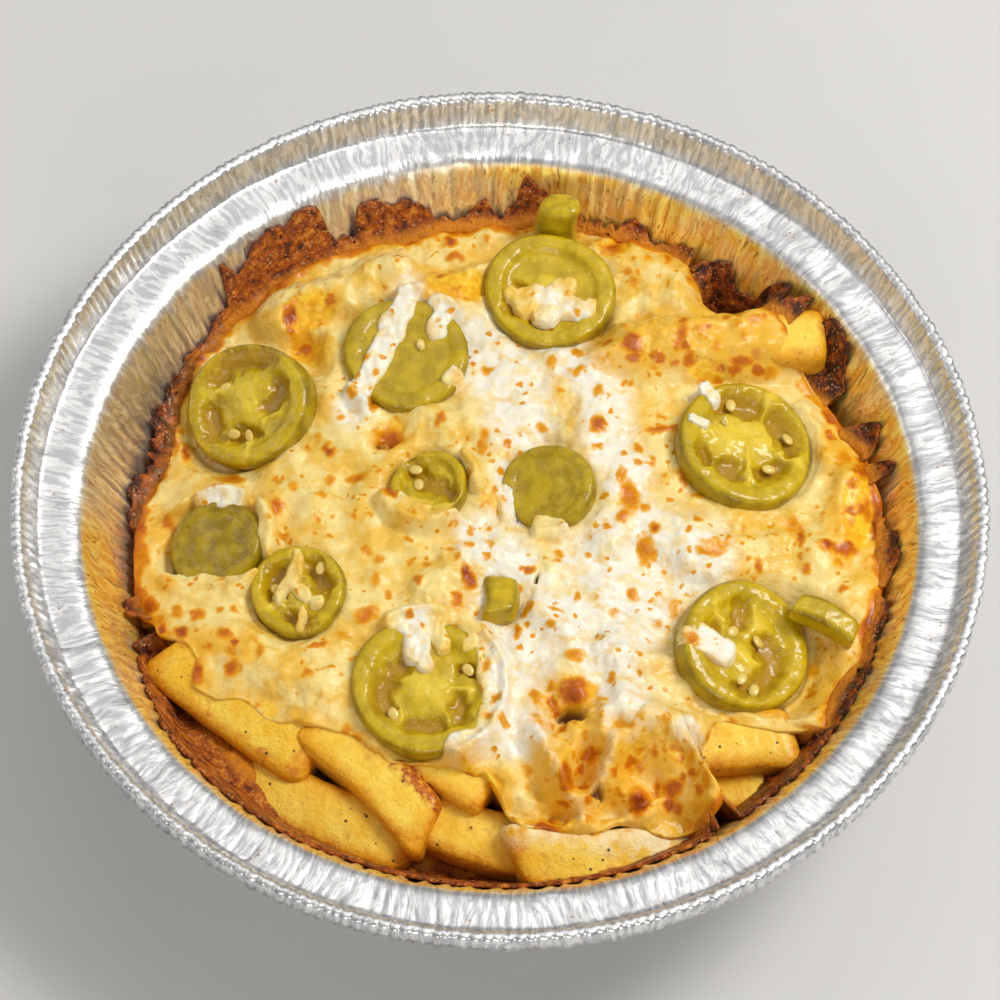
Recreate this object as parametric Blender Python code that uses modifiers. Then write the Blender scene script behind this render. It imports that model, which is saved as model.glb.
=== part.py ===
"""Cheese fries with sliced jalapenos, in the round crimped foil pan that they were baked in.

The sizes and places below are in millimetres, with +Z up and the origin on the middle of the
pan's underside. Each mesh is brought to metres once, when it becomes an object.
"""
import math
import random

import bmesh
import bpy
from mathutils import Matrix, Vector

MM = 0.001
WELD = 2e-6         # metres; points closer than this are one
GAP = 0.35          # air left between two pieces that touch
CUT_GROWTH = 0.6    # how much fatter than the fries the hollow is that the cheese fits over

# The pan: 180 mm across its lip, pressed from foil
PAN_FOIL = 0.4
PAN_SEGMENTS = 96
PAN_HEIGHT = 45.8
LEDGE_HEIGHT = 39.8
LEDGE_INNER_RADIUS = 78.1
LEDGE_OUTER_RADIUS = 86.1
LIP_RADIUS = 88.9
LIP_ROUND = 1.2             # rounding over the top of the lip
HEM_DROP = 4.2
WALL_SLOPE = 0.5            # how far the wall leans out for each millimetre up
PLEAT_DEPTH = 0.45          # of the wall's flutes, halfway up
CRIMP_DEPTH = 0.3           # of the crimps in the lip
CORNER = 3.2                # rounding where the wall meets the floor
SHOULDER = 2.2              # and where it turns into the ledge
ROOM_SEGMENTS = 48

# The food: a low dome of fries under one blanket of melted cheese
FOOD_SEGMENTS = 72
CORE_SEGMENTS = 36
FLAT_ANGLE = math.radians(1.5)      # faces that turn less than this are made one
DOME_HEIGHT = 36.2
DOME_POWER = 2.4
FOOD_LIMIT = 39.4
CHEESE_THICKNESS = 2.8
CRUST_THICKNESS = 1.0
RIM_SAMPLE = 70.0           # radius at which the height of the bed beside the wall is read
CORE_INSET = 0.4            # how far the packed fries stay inside the room in the pan
CORE_RINGS = (0.35, 0.62, 0.8, 0.92, 1.0)                       # shares of the radius
CHEESE_RINGS = (0.17, 0.34, 0.5, 0.64, 0.76, 0.86, 0.94, 1.0)
CORE_SINK = 3.0             # how far the raw blanket reaches into the core, before it is cut
CHEESE_INSET = 0.2          # and the blanket, so that no film of it runs down the core's side

# Edge of the blanket, going round: azimuth in degrees, radius, height
CHEESE_EDGE = (
    (0, 70.5, 31.5), (15, 71.5, 31), (21, 68.5, 31), (33, 67, 31.5), (42, 69, 31),
    (52, 63, 30.5), (58, 66.5, 30), (64, 71.5, 29.5), (90, 71, 29), (98, 69, 29),
    (110, 68.3, 29), (120, 69, 28.5), (128, 71.5, 28), (146, 71, 27), (153, 70, 26),
    (158, 67, 25.5), (163, 65, 25.5), (172, 66.5, 25), (187, 67.8, 24.5), (193, 68, 25.5),
    (199, 65.5, 28.5), (207, 63, 31), (218, 58.5, 32), (230, 54, 32), (242, 51.5, 32),
    (262, 48.5, 32), (268, 50.5, 31), (277, 59, 30), (292, 61, 30.5), (300, 65.5, 30),
    (307, 68, 29.5), (312, 58, 32), (318, 55, 32.5), (324, 62, 31), (329, 70.5, 29.5),
    (343, 71.8, 30.5), (352, 71.5, 31.5),
)
# Bed of fries that shows between the blanket and the wall: azimuth, height
BARE_BED = ((0, 24), (60, 22), (120, 22), (150, 17), (170, 15), (195, 17), (215, 20),
            (250, 18), (300, 17), (325, 21))
# Tongues of burnt cheese up the wall: azimuth in degrees, height of their crest
CRUST_CREST = (
    (0, 34), (5, 31), (10, 33), (14, 31), (17, 34), (20, 36), (25, 31), (30, 35), (35, 38.3),
    (39, 32), (42, 38), (46, 37), (50, 30), (55, 33.5), (59, 30.5), (64, 32.5), (70, 30.5),
    (80, 30), (85, 33.5), (90, 36), (95, 33), (100, 30), (105, 33.5), (110, 35.5), (115, 34),
    (117, 31), (120, 38.3), (125, 38), (130, 36.5), (135, 36.5), (140, 31), (150, 30), (158, 31),
    (164, 27), (175, 27), (190, 25.5), (198, 28), (205, 30), (215, 30), (225, 33), (235, 36),
    (245, 36), (250, 30), (260, 26), (320, 26), (328, 30), (340, 31.5), (352, 33),
)
WALL_CRUST = (201, 249)     # azimuths where the crust lines the wall beside bare fries

# Fries: one end, the other end, width, height, sideways bow, roll in degrees
BARE_FRIES = {
    "long_left": ((-60, -25, 25), (-29, -47.5, 24.5), 11.5, 9.5, 2.6, 14),
    "middle_left": ((-36, -43, 26.5), (-9, -58.5, 24), 11.5, 9.5, 1.5, 8),
    "low_left": ((-45, -47, 20), (-12.5, -61, 19.5), 11, 8.5, -2.6, -6),
    "burnt": ((-24, -41, 27.5), (0.5, -52.5, 25.5), 11, 9, 1, 10),
    "low_middle": ((-12, -55, 22), (14.5, -61, 20), 10.5, 8.5, -1.5, -5),
    "bright": ((2, -63.5, 25.5), (41, -55.5, 24.5), 11.5, 8.5, -3, -12),
    "short_right": ((34, -40, 25.5), (56, -38.5, 24.5), 11.5, 9, 0.5, 0),
    "tucked_right": ((40, -48, 19), (51.5, -45.5, 19), 9, 8, 0, 0),
    "far_right": ((20, 39, 31.5), (60, 43.5, 33.3), 11, 9.5, -1.5, 12),
}
# Fries that only lift the cheese lying over them
COVERED_FRIES = {
    "left_end": ((-65, -2, 20.5), (-59.5, -19.5, 21.5), 10, 8.5, -1, 0),
    "arch_left": ((9.5, -38, 29), (12.5, -54.5, 25.5), 9, 8.5, 0, 0),
    "arch_middle": ((13, -32, 30), (21.5, -51, 27), 9.5, 9, 1.5, 0),
    "arch_right": ((24, -38, 30), (40, -53.5, 27.5), 12, 9.5, 1.5, 6),
    "right_edge": ((57, -36, 25), (66.5, -10, 27), 9.5, 9, 2.5, 0),
    "right_end": ((60, -3, 28), (66.5, 11.5, 27.5), 10.5, 9, 0, 8),
    "far_left": ((-42, 46, 27.5), (-22, 53, 30), 10, 9, 0, 0),
    "far_middle": ((-16, 48, 31), (8, 58, 29.5), 10, 9, 0, 0),
    "far_edge": ((19, 63, 26), (35, 54, 28), 10.5, 9, 0, 0),
    "far_right_inner": ((20, 39, 31.5), (49, 43, 33), 11, 9.5, -1.2, 12),
}
FRY_STATIONS = (0.0, 0.07, 0.35, 0.65, 0.93, 1.0)
FRY_END_SCALE = 0.72
FRY_CHAMFER = 0.30          # share of the half width that the long edges lose

# Jalapeno slices: middle of the cut face, radius, thickness, tilt, azimuth that it faces
RING_SLICES = {
    "jalapeno_1": ((-49, 25, 33.2), 12.3, 6, 29, 212),
    "jalapeno_2": ((-19, 35.5, 37), 11.7, 6, 5, 240),
    "jalapeno_3": ((8, 51.5, 36), 12.2, 6, 6, 262),
    "jalapeno_5": ((46, 19, 36), 13.2, 5.5, 14, 14),
    "jalapeno_9": ((-37, -15.5, 35), 8.9, 5, 15, 209),
    "jalapeno_10": ((-12.5, -35, 36), 13.4, 5.5, 6, 250),
    "jalapeno_11": ((46.5, -23, 33.8), 12.8, 5.5, 24, 350),
}
PLAIN_SLICES = {
    "jalapeno_6": ((8.8, 7.4, 37.2), 8.6, 5, 14, 203),
    "jalapeno_7": ((-13.5, 7, 37.2), 7.4, 4.5, 12, 139),
    "jalapeno_8": ((-53, -4.5, 31.5), 9, 9, 24, 200),
}
# Strips cut from a slice: middle, length, width, height, azimuth, slope in degrees
STRIPS = {
    "jalapeno_4": ((9.8, 67.8, 33.5), 9.5, 7.5, 5.5, 262, 62),
    "jalapeno_12": ((60.8, -17.5, 33.6), 12.6, 4.8, 4.6, 335, -8),
    "jalapeno_13": ((0.2, -16.5, 35.5), 8, 6.2, 5, 270, 12),
}
SLICE_SEGMENTS = 15
SLICE_SINK = 2.0            # how far the cheese round a slice stays below its cut face
DIP_SLOPE = 0.9             # how steeply the cheese rises again beside a slice
FLESH_WIDTH = 0.27          # share of the radius taken by the ring of flesh
CHAMBER_DEPTH = 0.42        # share of the thickness
RIB_COUNT = 3
RIB_HEIGHT = -0.5           # top of the ribs, measured from the cut face


# Curves that go round the pan

def round_curve(knots, azimuth, column):
    """Value at an azimuth, on a smooth closed curve through the knots."""
    count = len(knots)
    azimuth %= 360
    index = max(i for i in range(count) if knots[i][0] <= azimuth)
    start, end = knots[index], knots[(index + 1) % count]
    span = (end[0] - start[0]) % 360
    share = (azimuth - start[0]) / span
    share = share * share * (3 - 2 * share)
    return start[column] + share * (end[column] - start[column])


def wall_line(height):
    """Radius of the wall's underside, between its pleats."""
    return LEDGE_INNER_RADIUS - (LEDGE_HEIGHT - height) * WALL_SLOPE


def wall_radius(height):
    """Radius that food may reach at a height, a gap clear of the pleated foil."""
    return wall_line(height) - 1.15 * PAN_FOIL - 0.6 * PLEAT_DEPTH - GAP


def edge_height(azimuth):
    return round_curve(CHEESE_EDGE, azimuth, 2)


def edge_radius(azimuth):
    """Radius of the blanket's edge, which leaves room for the crust on the wall."""
    room = wall_radius(edge_height(azimuth)) - CHEESE_INSET - CRUST_THICKNESS - 0.6
    return min(round_curve(CHEESE_EDGE, azimuth, 1), room)


# Height of the food

def polar(x, y):
    return math.hypot(x, y), math.degrees(math.atan2(y, x)) % 360


def fry_crown(fry, x, y):
    """Top of a fry's rounded back over a point, or None beside the fry."""
    start, end, width, height, bow, _ = fry
    run = Vector((end[0] - start[0], end[1] - start[1]))
    length = run.length
    run.normalize()
    offset = Vector((x - start[0], y - start[1]))
    along = min(max(offset.dot(run) / length, 0.0), 1.0)
    side = Vector((-run.y, run.x))
    centre = run * along * length + side * bow * 4 * along * (1 - along)
    beside = (offset - centre).length / (0.62 * width)
    if beside >= 1:
        return None
    axis = start[2] + along * (end[2] - start[2])
    return axis + 0.5 * height * math.sqrt(1 - beside ** 2)


def food_top(x, y):
    """Top of the cheese over a point."""
    radius, azimuth = polar(x, y)
    share = min(radius / edge_radius(azimuth), 1.0)
    rim = edge_height(azimuth)
    top = rim + (DOME_HEIGHT - rim) * (1 - share ** DOME_POWER)
    for fry in COVERED_FRIES.values():
        crown = fry_crown(fry, x, y)
        if crown is not None:
            top = max(top, crown + CHEESE_THICKNESS)
    for centre, slice_radius, _, tilt, facing in {**RING_SLICES, **PLAIN_SLICES}.values():
        top = min(top, dip_height(x, y, centre, slice_radius, tilt, facing))
    return min(top, FOOD_LIMIT)


def dip_height(x, y, centre, slice_radius, tilt, facing):
    """Highest that the cheese may be over a point, so that a slice's cut face stays open."""
    dx = x - centre[0]
    dy = y - centre[1]
    away = math.hypot(dx, dy)
    toward = dx * math.cos(math.radians(facing)) + dy * math.sin(math.radians(facing))
    inside = min(1.0, slice_radius / max(away, 0.001))
    plane = centre[2] - toward * inside * math.tan(math.radians(tilt))
    return plane - SLICE_SINK + max(away - slice_radius, 0.0) * DIP_SLOPE


def bed_top(x, y):
    """Top of the packed fries over a point, without the fries that show."""
    radius, azimuth = polar(x, y)
    inside = min(max((edge_radius(azimuth) - radius + 1.5) / 5.0, 0.0), 1.0)
    bare = round_curve(BARE_BED, azimuth, 1)
    reaches_wall = edge_radius(azimuth) > wall_radius(edge_height(azimuth)) - 3.5
    if reaches_wall:
        inside = 1.0
    rim = edge_height(azimuth)
    share = min(radius / edge_radius(azimuth), 1.0)
    covered = rim + (DOME_HEIGHT - rim) * (1 - share ** DOME_POWER) - CHEESE_THICKNESS
    for centre, slice_radius, _, tilt, facing in {**RING_SLICES, **PLAIN_SLICES}.values():
        dip = dip_height(x, y, centre, slice_radius, tilt, facing)
        covered = min(covered, dip - CHEESE_THICKNESS)
    return bare + inside * (covered - bare)


# Meshes

def circle(radius, height, count):
    """Level ring of points round the pan's axis."""
    step = 2 * math.pi / count
    return [(radius * math.cos(i * step), radius * math.sin(i * step), height)
            for i in range(count)]


def turned(profile, segments):
    """Mesh turned round Z from a profile of radii and heights, closed where it meets the axis."""
    mesh = bmesh.new()
    line = [mesh.verts.new((radius, 0, height)) for radius, height in profile]
    edges = [mesh.edges.new(pair) for pair in zip(line, line[1:])]
    bmesh.ops.spin(mesh, geom=line + edges, cent=(0, 0, 0), axis=(0, 0, 1),
                   angle=2 * math.pi, steps=segments, use_merge=True)
    bmesh.ops.remove_doubles(mesh, verts=mesh.verts[:], dist=0.01)
    return mesh


def loft(rings, first_pole=None, last_pole=None):
    """Closed surface through rings of points, closed by a pole or a flat face at each end."""
    mesh = bmesh.new()
    rows = [[mesh.verts.new(point) for point in ring] for ring in rings]
    count = len(rows[0])
    for upper, lower in zip(rows, rows[1:]):
        for i in range(count):
            j = (i + 1) % count
            mesh.faces.new((upper[i], lower[i], lower[j], upper[j]))
    for row, pole, backwards in ((rows[0], first_pole, False), (rows[-1], last_pole, True)):
        order = row[::-1] if backwards else row
        if pole is None:
            mesh.faces.new(order)
            continue
        tip = mesh.verts.new(pole)
        for i in range(count):
            mesh.faces.new((tip, order[i], order[(i + 1) % count]))
    bmesh.ops.triangulate(mesh, faces=mesh.faces[:])
    bmesh.ops.recalc_face_normals(mesh, faces=mesh.faces[:])
    return mesh


def make_material(name, colour, roughness, metallic=0.0):
    material = bpy.data.materials.new(name)
    material.use_nodes = True
    shader = material.node_tree.nodes["Principled BSDF"]
    shader.inputs["Base Color"].default_value = (*colour, 1.0)
    shader.inputs["Roughness"].default_value = roughness
    shader.inputs["Metallic"].default_value = metallic
    return material


def make_object(name, mesh, collection, material=None):
    """Object of a bmesh in millimetres, brought to metres."""
    bmesh.ops.scale(mesh, vec=(MM, MM, MM), verts=mesh.verts[:])
    data = bpy.data.meshes.new(name)
    mesh.to_mesh(data)
    mesh.free()
    made = bpy.data.objects.new(name, data)
    collection.objects.link(made)
    if material is not None:
        data.materials.append(material)
    return made


def largest_body(data):
    """Keeps the one largest body of a mesh and drops loose scraps."""
    mesh = bmesh.new()
    mesh.from_mesh(data)
    bmesh.ops.remove_doubles(mesh, verts=mesh.verts[:], dist=WELD)
    bmesh.ops.dissolve_degenerate(mesh, edges=mesh.edges[:], dist=WELD)
    unseen = set(mesh.faces)
    bodies = []
    while unseen:
        body = {unseen.pop()}
        front = list(body)
        while front:
            for edge in front.pop().edges:
                for face in edge.link_faces:
                    if face in unseen:
                        unseen.discard(face)
                        body.add(face)
                        front.append(face)
        bodies.append(body)
    bodies.sort(key=len, reverse=True)
    scraps = [face for body in bodies[1:] for face in body]
    bmesh.ops.delete(mesh, geom=scraps, context="FACES")
    bmesh.ops.dissolve_limit(mesh, angle_limit=FLAT_ANGLE, verts=mesh.verts[:],
                             edges=mesh.edges[:])
    bmesh.ops.triangulate(mesh, faces=mesh.faces[:])
    mesh.to_mesh(data)
    mesh.free()


def combine(target, operation, cutters):
    """Applies one Boolean with all the objects of a collection, and removes them.

    The crossing lofts leave gaps under the exact solver, and the manifold one closes them.
    """
    modifier = target.modifiers.new("Fuse", "BOOLEAN")
    modifier.operation = operation
    modifier.operand_type = "COLLECTION"
    modifier.collection = cutters
    modifier.solver = "MANIFOLD"
    evaluated = target.evaluated_get(bpy.context.evaluated_depsgraph_get())
    data = bpy.data.meshes.new_from_object(evaluated)
    target.modifiers.clear()
    target.data = data
    for cutter in list(cutters.objects):
        bpy.data.objects.remove(cutter)
    largest_body(data)


def new_cutters(name):
    cutters = bpy.data.collections.new(name)
    bpy.context.scene.collection.children.link(cutters)
    return cutters


def add_cutter(name, mesh, cutters):
    cutter = make_object(name, mesh, cutters)
    cutter.hide_render = True
    cutter.display_type = "WIRE"


# The pan

def pan_profile():
    """Underside of the foil: floor, wall, ledge, flared lip and the hem rolled down."""
    corner = 1.2
    middle = 0.5 * LEDGE_HEIGHT
    shoulder = LEDGE_HEIGHT - SHOULDER
    lip = PAN_HEIGHT - PAN_FOIL
    return (
        (0.0, 0.0),
        (wall_line(0) - CORNER, 0.0),
        (wall_line(corner) - 0.5, corner),
        (wall_line(middle), middle),
        (wall_line(shoulder), shoulder),
        (LEDGE_INNER_RADIUS + 0.5, LEDGE_HEIGHT - 0.3),
        (LEDGE_OUTER_RADIUS - 0.4, LEDGE_HEIGHT),
        (LEDGE_OUTER_RADIUS + 0.8, LEDGE_HEIGHT + LIP_ROUND),
        (LIP_RADIUS - 0.5 * LIP_ROUND, lip - 0.5 * LIP_ROUND),
        (LIP_RADIUS + 0.4, lip),
        (LIP_RADIUS + LIP_ROUND, PAN_HEIGHT - LIP_ROUND),
        (LIP_RADIUS + LIP_ROUND - 0.2, PAN_HEIGHT - HEM_DROP),
    )


def fold_depth(radius, height):
    """Depth of the folds in the foil: pleats that fade up and down the wall, crimped lip."""
    if radius > LEDGE_OUTER_RADIUS - 1:
        return CRIMP_DEPTH
    share = height / LEDGE_HEIGHT
    return PLEAT_DEPTH * 4 * share * (1 - share)


def make_pan(collection, material):
    """Turned sheet, folded in and out on every other segment, then given the foil's thickness."""
    mesh = turned(pan_profile(), PAN_SEGMENTS)
    for vertex in mesh.verts:
        radius, azimuth = polar(vertex.co.x, vertex.co.y)
        if radius < 1:
            continue
        outward = round(azimuth * PAN_SEGMENTS / 360) % 2 == 0
        fold = 0.5 * fold_depth(radius, vertex.co.z) * (1 if outward else -1)
        vertex.co.x *= 1 + fold / radius
        vertex.co.y *= 1 + fold / radius
    floor = min(mesh.faces, key=lambda face: face.calc_center_median().z)
    floor.normal_update()
    if floor.normal.z > 0:
        bmesh.ops.reverse_faces(mesh, faces=mesh.faces[:])
    pan = make_object("foil_pan", mesh, collection, material)
    shell = pan.modifiers.new("Foil", "SOLIDIFY")
    shell.thickness = PAN_FOIL * MM
    shell.offset = -1.0
    shell.use_even_offset = True
    return pan


# The fries

def fry_rings(fry, grow, seed):
    """Sections of one fry: eight-sided bars, uneven along their length."""
    start, end, width, height, bow, roll = fry
    start, end = Vector(start), Vector(end)
    run = (end - start).normalized()
    start = start - run * grow
    end = end + run * grow
    side = run.cross(Vector((0, 0, 1))).normalized()
    turn = Matrix.Rotation(math.radians(roll), 3, run)
    across = turn @ side
    up = turn @ side.cross(run)
    draw = random.Random(seed)
    rings = []
    for share in FRY_STATIONS:
        at_end = share in (FRY_STATIONS[0], FRY_STATIONS[-1])
        scale = FRY_END_SCALE if at_end else 1.0
        wobble = draw.uniform(0.94, 1.04)
        half_width = 0.5 * width * scale * wobble + grow
        half_height = 0.5 * height * scale * draw.uniform(0.94, 1.04) + grow
        centre = start.lerp(end, share) - side * bow * 4 * share * (1 - share)
        cut = 1 - FRY_CHAMFER
        corners = ((1, cut), (cut, 1), (-cut, 1), (-1, cut), (-1, -cut), (-cut, -1),
                   (cut, -1), (1, -cut))
        rings.append([centre + across * half_width * u + up * half_height * v
                      for u, v in corners])
    return rings


def core_mesh(grow):
    """Packed fries below the blanket, from the pan's floor up."""
    rings = []
    for share in CORE_RINGS:
        ring = []
        for rim_x, rim_y, _ in circle(RIM_SAMPLE, 0.0, CORE_SEGMENTS):
            rim_radius = wall_radius(bed_top(rim_x, rim_y)) - CORE_INSET
            x = share * rim_radius * rim_x / RIM_SAMPLE
            y = share * rim_radius * rim_y / RIM_SAMPLE
            outward = 1 + grow / rim_radius if share == 1.0 else 1
            ring.append((x * outward, y * outward, bed_top(x, y) + grow))
        rings.append(ring)
    floor = PAN_FOIL + GAP - grow
    side = grow - CORE_INSET
    for radius, height in ((wall_radius(9.0), 9.0), (wall_radius(3.0), 3.0),
                           (wall_radius(0.0) - CORNER, floor)):
        rings.append(circle(radius + side, height, CORE_SEGMENTS))
    return loft(rings, (0, 0, bed_top(0, 0) + grow), (0, 0, floor))


def wall_crust_mesh(grow):
    """Burnt cheese that lines the wall beside the bare fries."""
    first, last = WALL_CRUST
    rings = []
    for i in range(13):
        azimuth = first + (last - first) * i / 12
        angle = math.radians(azimuth)
        low = round_curve(BARE_BED, azimuth, 1) - 4.0
        crest = round_curve(CRUST_CREST, azimuth, 1)
        ring = []
        for height, depth in ((low, 0.0), (0.5 * (low + crest), 0.0), (crest, 0.0),
                              (crest - 0.6, CRUST_THICKNESS),
                              (0.5 * (low + crest), CRUST_THICKNESS + 0.5),
                              (low, CRUST_THICKNESS + 1.5)):
            radius = wall_radius(height) - CORE_INSET - depth
            radius += grow if depth == 0 else -grow
            ring.append((radius * math.cos(angle), radius * math.sin(angle), height))
        rings.append(ring)
    return loft(rings)


def pan_room_mesh():
    """Room inside the pan, a gap clear of its foil."""
    floor = PAN_FOIL + GAP
    mesh = turned(((0, PAN_HEIGHT), (wall_radius(PAN_HEIGHT), PAN_HEIGHT), (wall_radius(3.0), 3.0),
                   (wall_radius(0.0) - CORNER, floor), (0, floor)), ROOM_SEGMENTS)
    bmesh.ops.recalc_face_normals(mesh, faces=mesh.faces[:])
    return mesh


def keep_in_pan(target):
    room = new_cutters("room_" + target.name)
    add_cutter("room_in_" + target.name, pan_room_mesh(), room)
    combine(target, "INTERSECT", room)


def make_heap(collection, material):
    heap = make_object("fries_heap", core_mesh(0.0), collection, material)
    pieces = new_cutters("heap_pieces")
    for seed, (name, fry) in enumerate(BARE_FRIES.items()):
        add_cutter(name, loft(fry_rings(fry, 0.0, seed)), pieces)
    add_cutter("wall_crust", wall_crust_mesh(0.0), pieces)
    combine(heap, "UNION", pieces)
    keep_in_pan(heap)
    return heap


# The cheese

def lip_section(azimuth):
    """Blanket's edge at an azimuth: a tongue up the wall, or a rounded edge over bare fries."""
    radius = edge_radius(azimuth)
    height = edge_height(azimuth)
    if radius > wall_radius(height) - 6.0 and not 197 < azimuth < 327:
        crest = max(round_curve(CRUST_CREST, azimuth, 1), height + 1.0)
        foot = wall_radius(height) - CHEESE_INSET - CRUST_THICKNESS - 0.2
        return (
            (foot, height + 0.3),
            (wall_radius(crest) - CHEESE_INSET - CRUST_THICKNESS, crest - 0.5),
            (wall_radius(crest) - CHEESE_INSET, crest),
            (wall_radius(height - 3.5) - CHEESE_INSET, height - 3.5),
            (radius - 2.0, height - 4.5),
        )
    return (
        (radius + 0.6, height - 0.5),
        (radius + 0.9, height - 1.2),
        (radius + 0.9, height - 2.0),
        (radius + 0.5, height - 3.0),
        (radius - 1.5, height - 4.0),
    )


def cheese_mesh():
    """Blanket of cheese with its burnt tongues up the wall, thicker below than it ends up."""
    azimuths = [i * 360 / FOOD_SEGMENTS for i in range(FOOD_SEGMENTS)]

    def spread(share, height_at):
        row = []
        for azimuth in azimuths:
            angle = math.radians(azimuth)
            x = share * edge_radius(azimuth) * math.cos(angle)
            y = share * edge_radius(azimuth) * math.sin(angle)
            row.append((x, y, height_at(x, y)))
        return row

    def underside(x, y):
        return bed_top(x, y) - CORE_SINK

    upper = [spread(share, food_top) for share in CHEESE_RINGS]
    sections = [lip_section(azimuth) for azimuth in azimuths]
    lip = []
    for line in zip(*sections):
        lip.append([(radius * math.cos(math.radians(azimuth)),
                     radius * math.sin(math.radians(azimuth)), height)
                    for azimuth, (radius, height) in zip(azimuths, line)])
    lower = [spread(share, underside) for share in (0.75, 0.35)]
    return loft(upper + lip + lower, (0, 0, food_top(0, 0)), (0, 0, underside(0, 0)))


def make_cheese(collection, material):
    cheese = make_object("melted_cheese", cheese_mesh(), collection, material)
    cutters = new_cutters("cheese_cutters")
    add_cutter("core_cutter", core_mesh(CUT_GROWTH), cutters)
    for seed, (name, fry) in enumerate(BARE_FRIES.items()):
        add_cutter(name + "_cutter", loft(fry_rings(fry, CUT_GROWTH, seed)), cutters)
    add_cutter("wall_crust_cutter", wall_crust_mesh(CUT_GROWTH), cutters)
    add_slice_cutters(cutters)
    combine(cheese, "DIFFERENCE", cutters)
    return cheese


# The jalapenos

def slice_frame(centre, tilt, azimuth):
    """Matrix that puts a slice's cut face, made level at z 0, in its place."""
    lean = Vector((-math.sin(math.radians(azimuth)), math.cos(math.radians(azimuth)), 0))
    return Matrix.Translation(centre) @ Matrix.Rotation(math.radians(tilt), 4, lean)


def slice_mesh(name, centre, radius, thickness, tilt, azimuth, cut_out, grow=0.0):
    """Slice of pepper: a ring of flesh round sunk seed chambers with ribs between them."""
    flesh = radius * (1 - FLESH_WIDTH)
    floor = -thickness * CHAMBER_DEPTH
    profile = [(radius - 0.5 + grow, grow), (radius + grow, -0.6), (radius + grow, 0.8 - thickness),
               (radius - 0.8 + grow, -thickness - grow), (0, -thickness - grow)]
    if cut_out:
        profile = [(0, RIB_HEIGHT), (0.34 * radius, RIB_HEIGHT), (0.40 * radius, floor),
                   (flesh - 0.4, floor), (flesh, 0.0)] + profile
    else:
        profile = [(0, grow)] + profile
    mesh = turned(profile, SLICE_SEGMENTS)
    phase = random.Random(name).uniform(0, 2 * math.pi)
    for vertex in mesh.verts:
        _, around = polar(vertex.co.x, vertex.co.y)
        on_rib = round(around * SLICE_SEGMENTS / 360) % (SLICE_SEGMENTS // RIB_COUNT) == 0
        in_chamber = cut_out and abs(vertex.co.z - floor) < 0.01
        if in_chamber and on_rib:
            vertex.co.z = RIB_HEIGHT
        angle = math.radians(around)
        uneven = 1 + 0.03 * math.cos(2 * angle + phase) + 0.015 * math.cos(3 * angle - phase)
        vertex.co.x *= uneven
        vertex.co.y *= uneven
    bmesh.ops.triangulate(mesh, faces=mesh.faces[:])
    bmesh.ops.recalc_face_normals(mesh, faces=mesh.faces[:])
    mesh.transform(slice_frame(centre, tilt, azimuth))
    return mesh


def strip_mesh(centre, length, width, height, azimuth, slope, grow=0.0):
    """Short strip cut from a slice: a bar that is rounded on its skin side."""
    angle = math.radians(azimuth)
    rise = math.radians(slope)
    run = Vector((math.cos(angle) * math.cos(rise), math.sin(angle) * math.cos(rise),
                  math.sin(rise)))
    half = run * (0.5 * length)
    fry = (Vector(centre) - half, Vector(centre) + half, width, height, 0.8, 0)
    return loft(fry_rings(fry, grow, 5))


def add_slice_cutters(cutters):
    for name, (centre, radius, thickness, tilt, azimuth) in {**RING_SLICES, **PLAIN_SLICES}.items():
        mesh = slice_mesh(name, centre, radius, thickness, tilt, azimuth, False, GAP)
        add_cutter(name + "_pocket", mesh, cutters)
    for name, values in STRIPS.items():
        add_cutter(name + "_pocket", strip_mesh(*values, GAP), cutters)


def make_jalapenos(collection, material):
    for name, values in RING_SLICES.items():
        make_object(name, slice_mesh(name, *values, True), collection, material)
    for name, values in PLAIN_SLICES.items():
        make_object(name, slice_mesh(name, *values, False), collection, material)
    for name, values in STRIPS.items():
        make_object(name, strip_mesh(*values), collection, material)


def build():
    for old in list(bpy.data.objects):
        bpy.data.objects.remove(old)
    parts = bpy.data.collections.new("cheese_fries")
    bpy.context.scene.collection.children.link(parts)
    foil = make_material("foil", (0.80, 0.80, 0.79), 0.28, 1.0)
    fried = make_material("fried_potato", (0.80, 0.47, 0.09), 0.55)
    melted = make_material("melted_cheese", (0.90, 0.78, 0.50), 0.35)
    pepper = make_material("pickled_pepper", (0.42, 0.36, 0.03), 0.30)
    make_pan(parts, foil)
    heap = make_heap(parts, fried)
    pockets = new_cutters("heap_cutters")
    add_slice_cutters(pockets)
    combine(heap, "DIFFERENCE", pockets)
    make_cheese(parts, melted)
    make_jalapenos(parts, pepper)


build()
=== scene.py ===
"""Cheese fries with pickled jalapenos, baked in a round foil pan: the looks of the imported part.

Sizes and places are in millimetres, in the frame of the part: +Z up, origin under the middle of
the pan. Each mesh is brought to metres once, when it becomes a piece. Places that were read off
the photograph are pixels of its 1000 x 1000 frame, and are laid onto the food by the camera's
own rays.
"""
import math
import random

import bmesh
import bpy
import numpy as np
from mathutils import Matrix, Vector, noise


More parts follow.
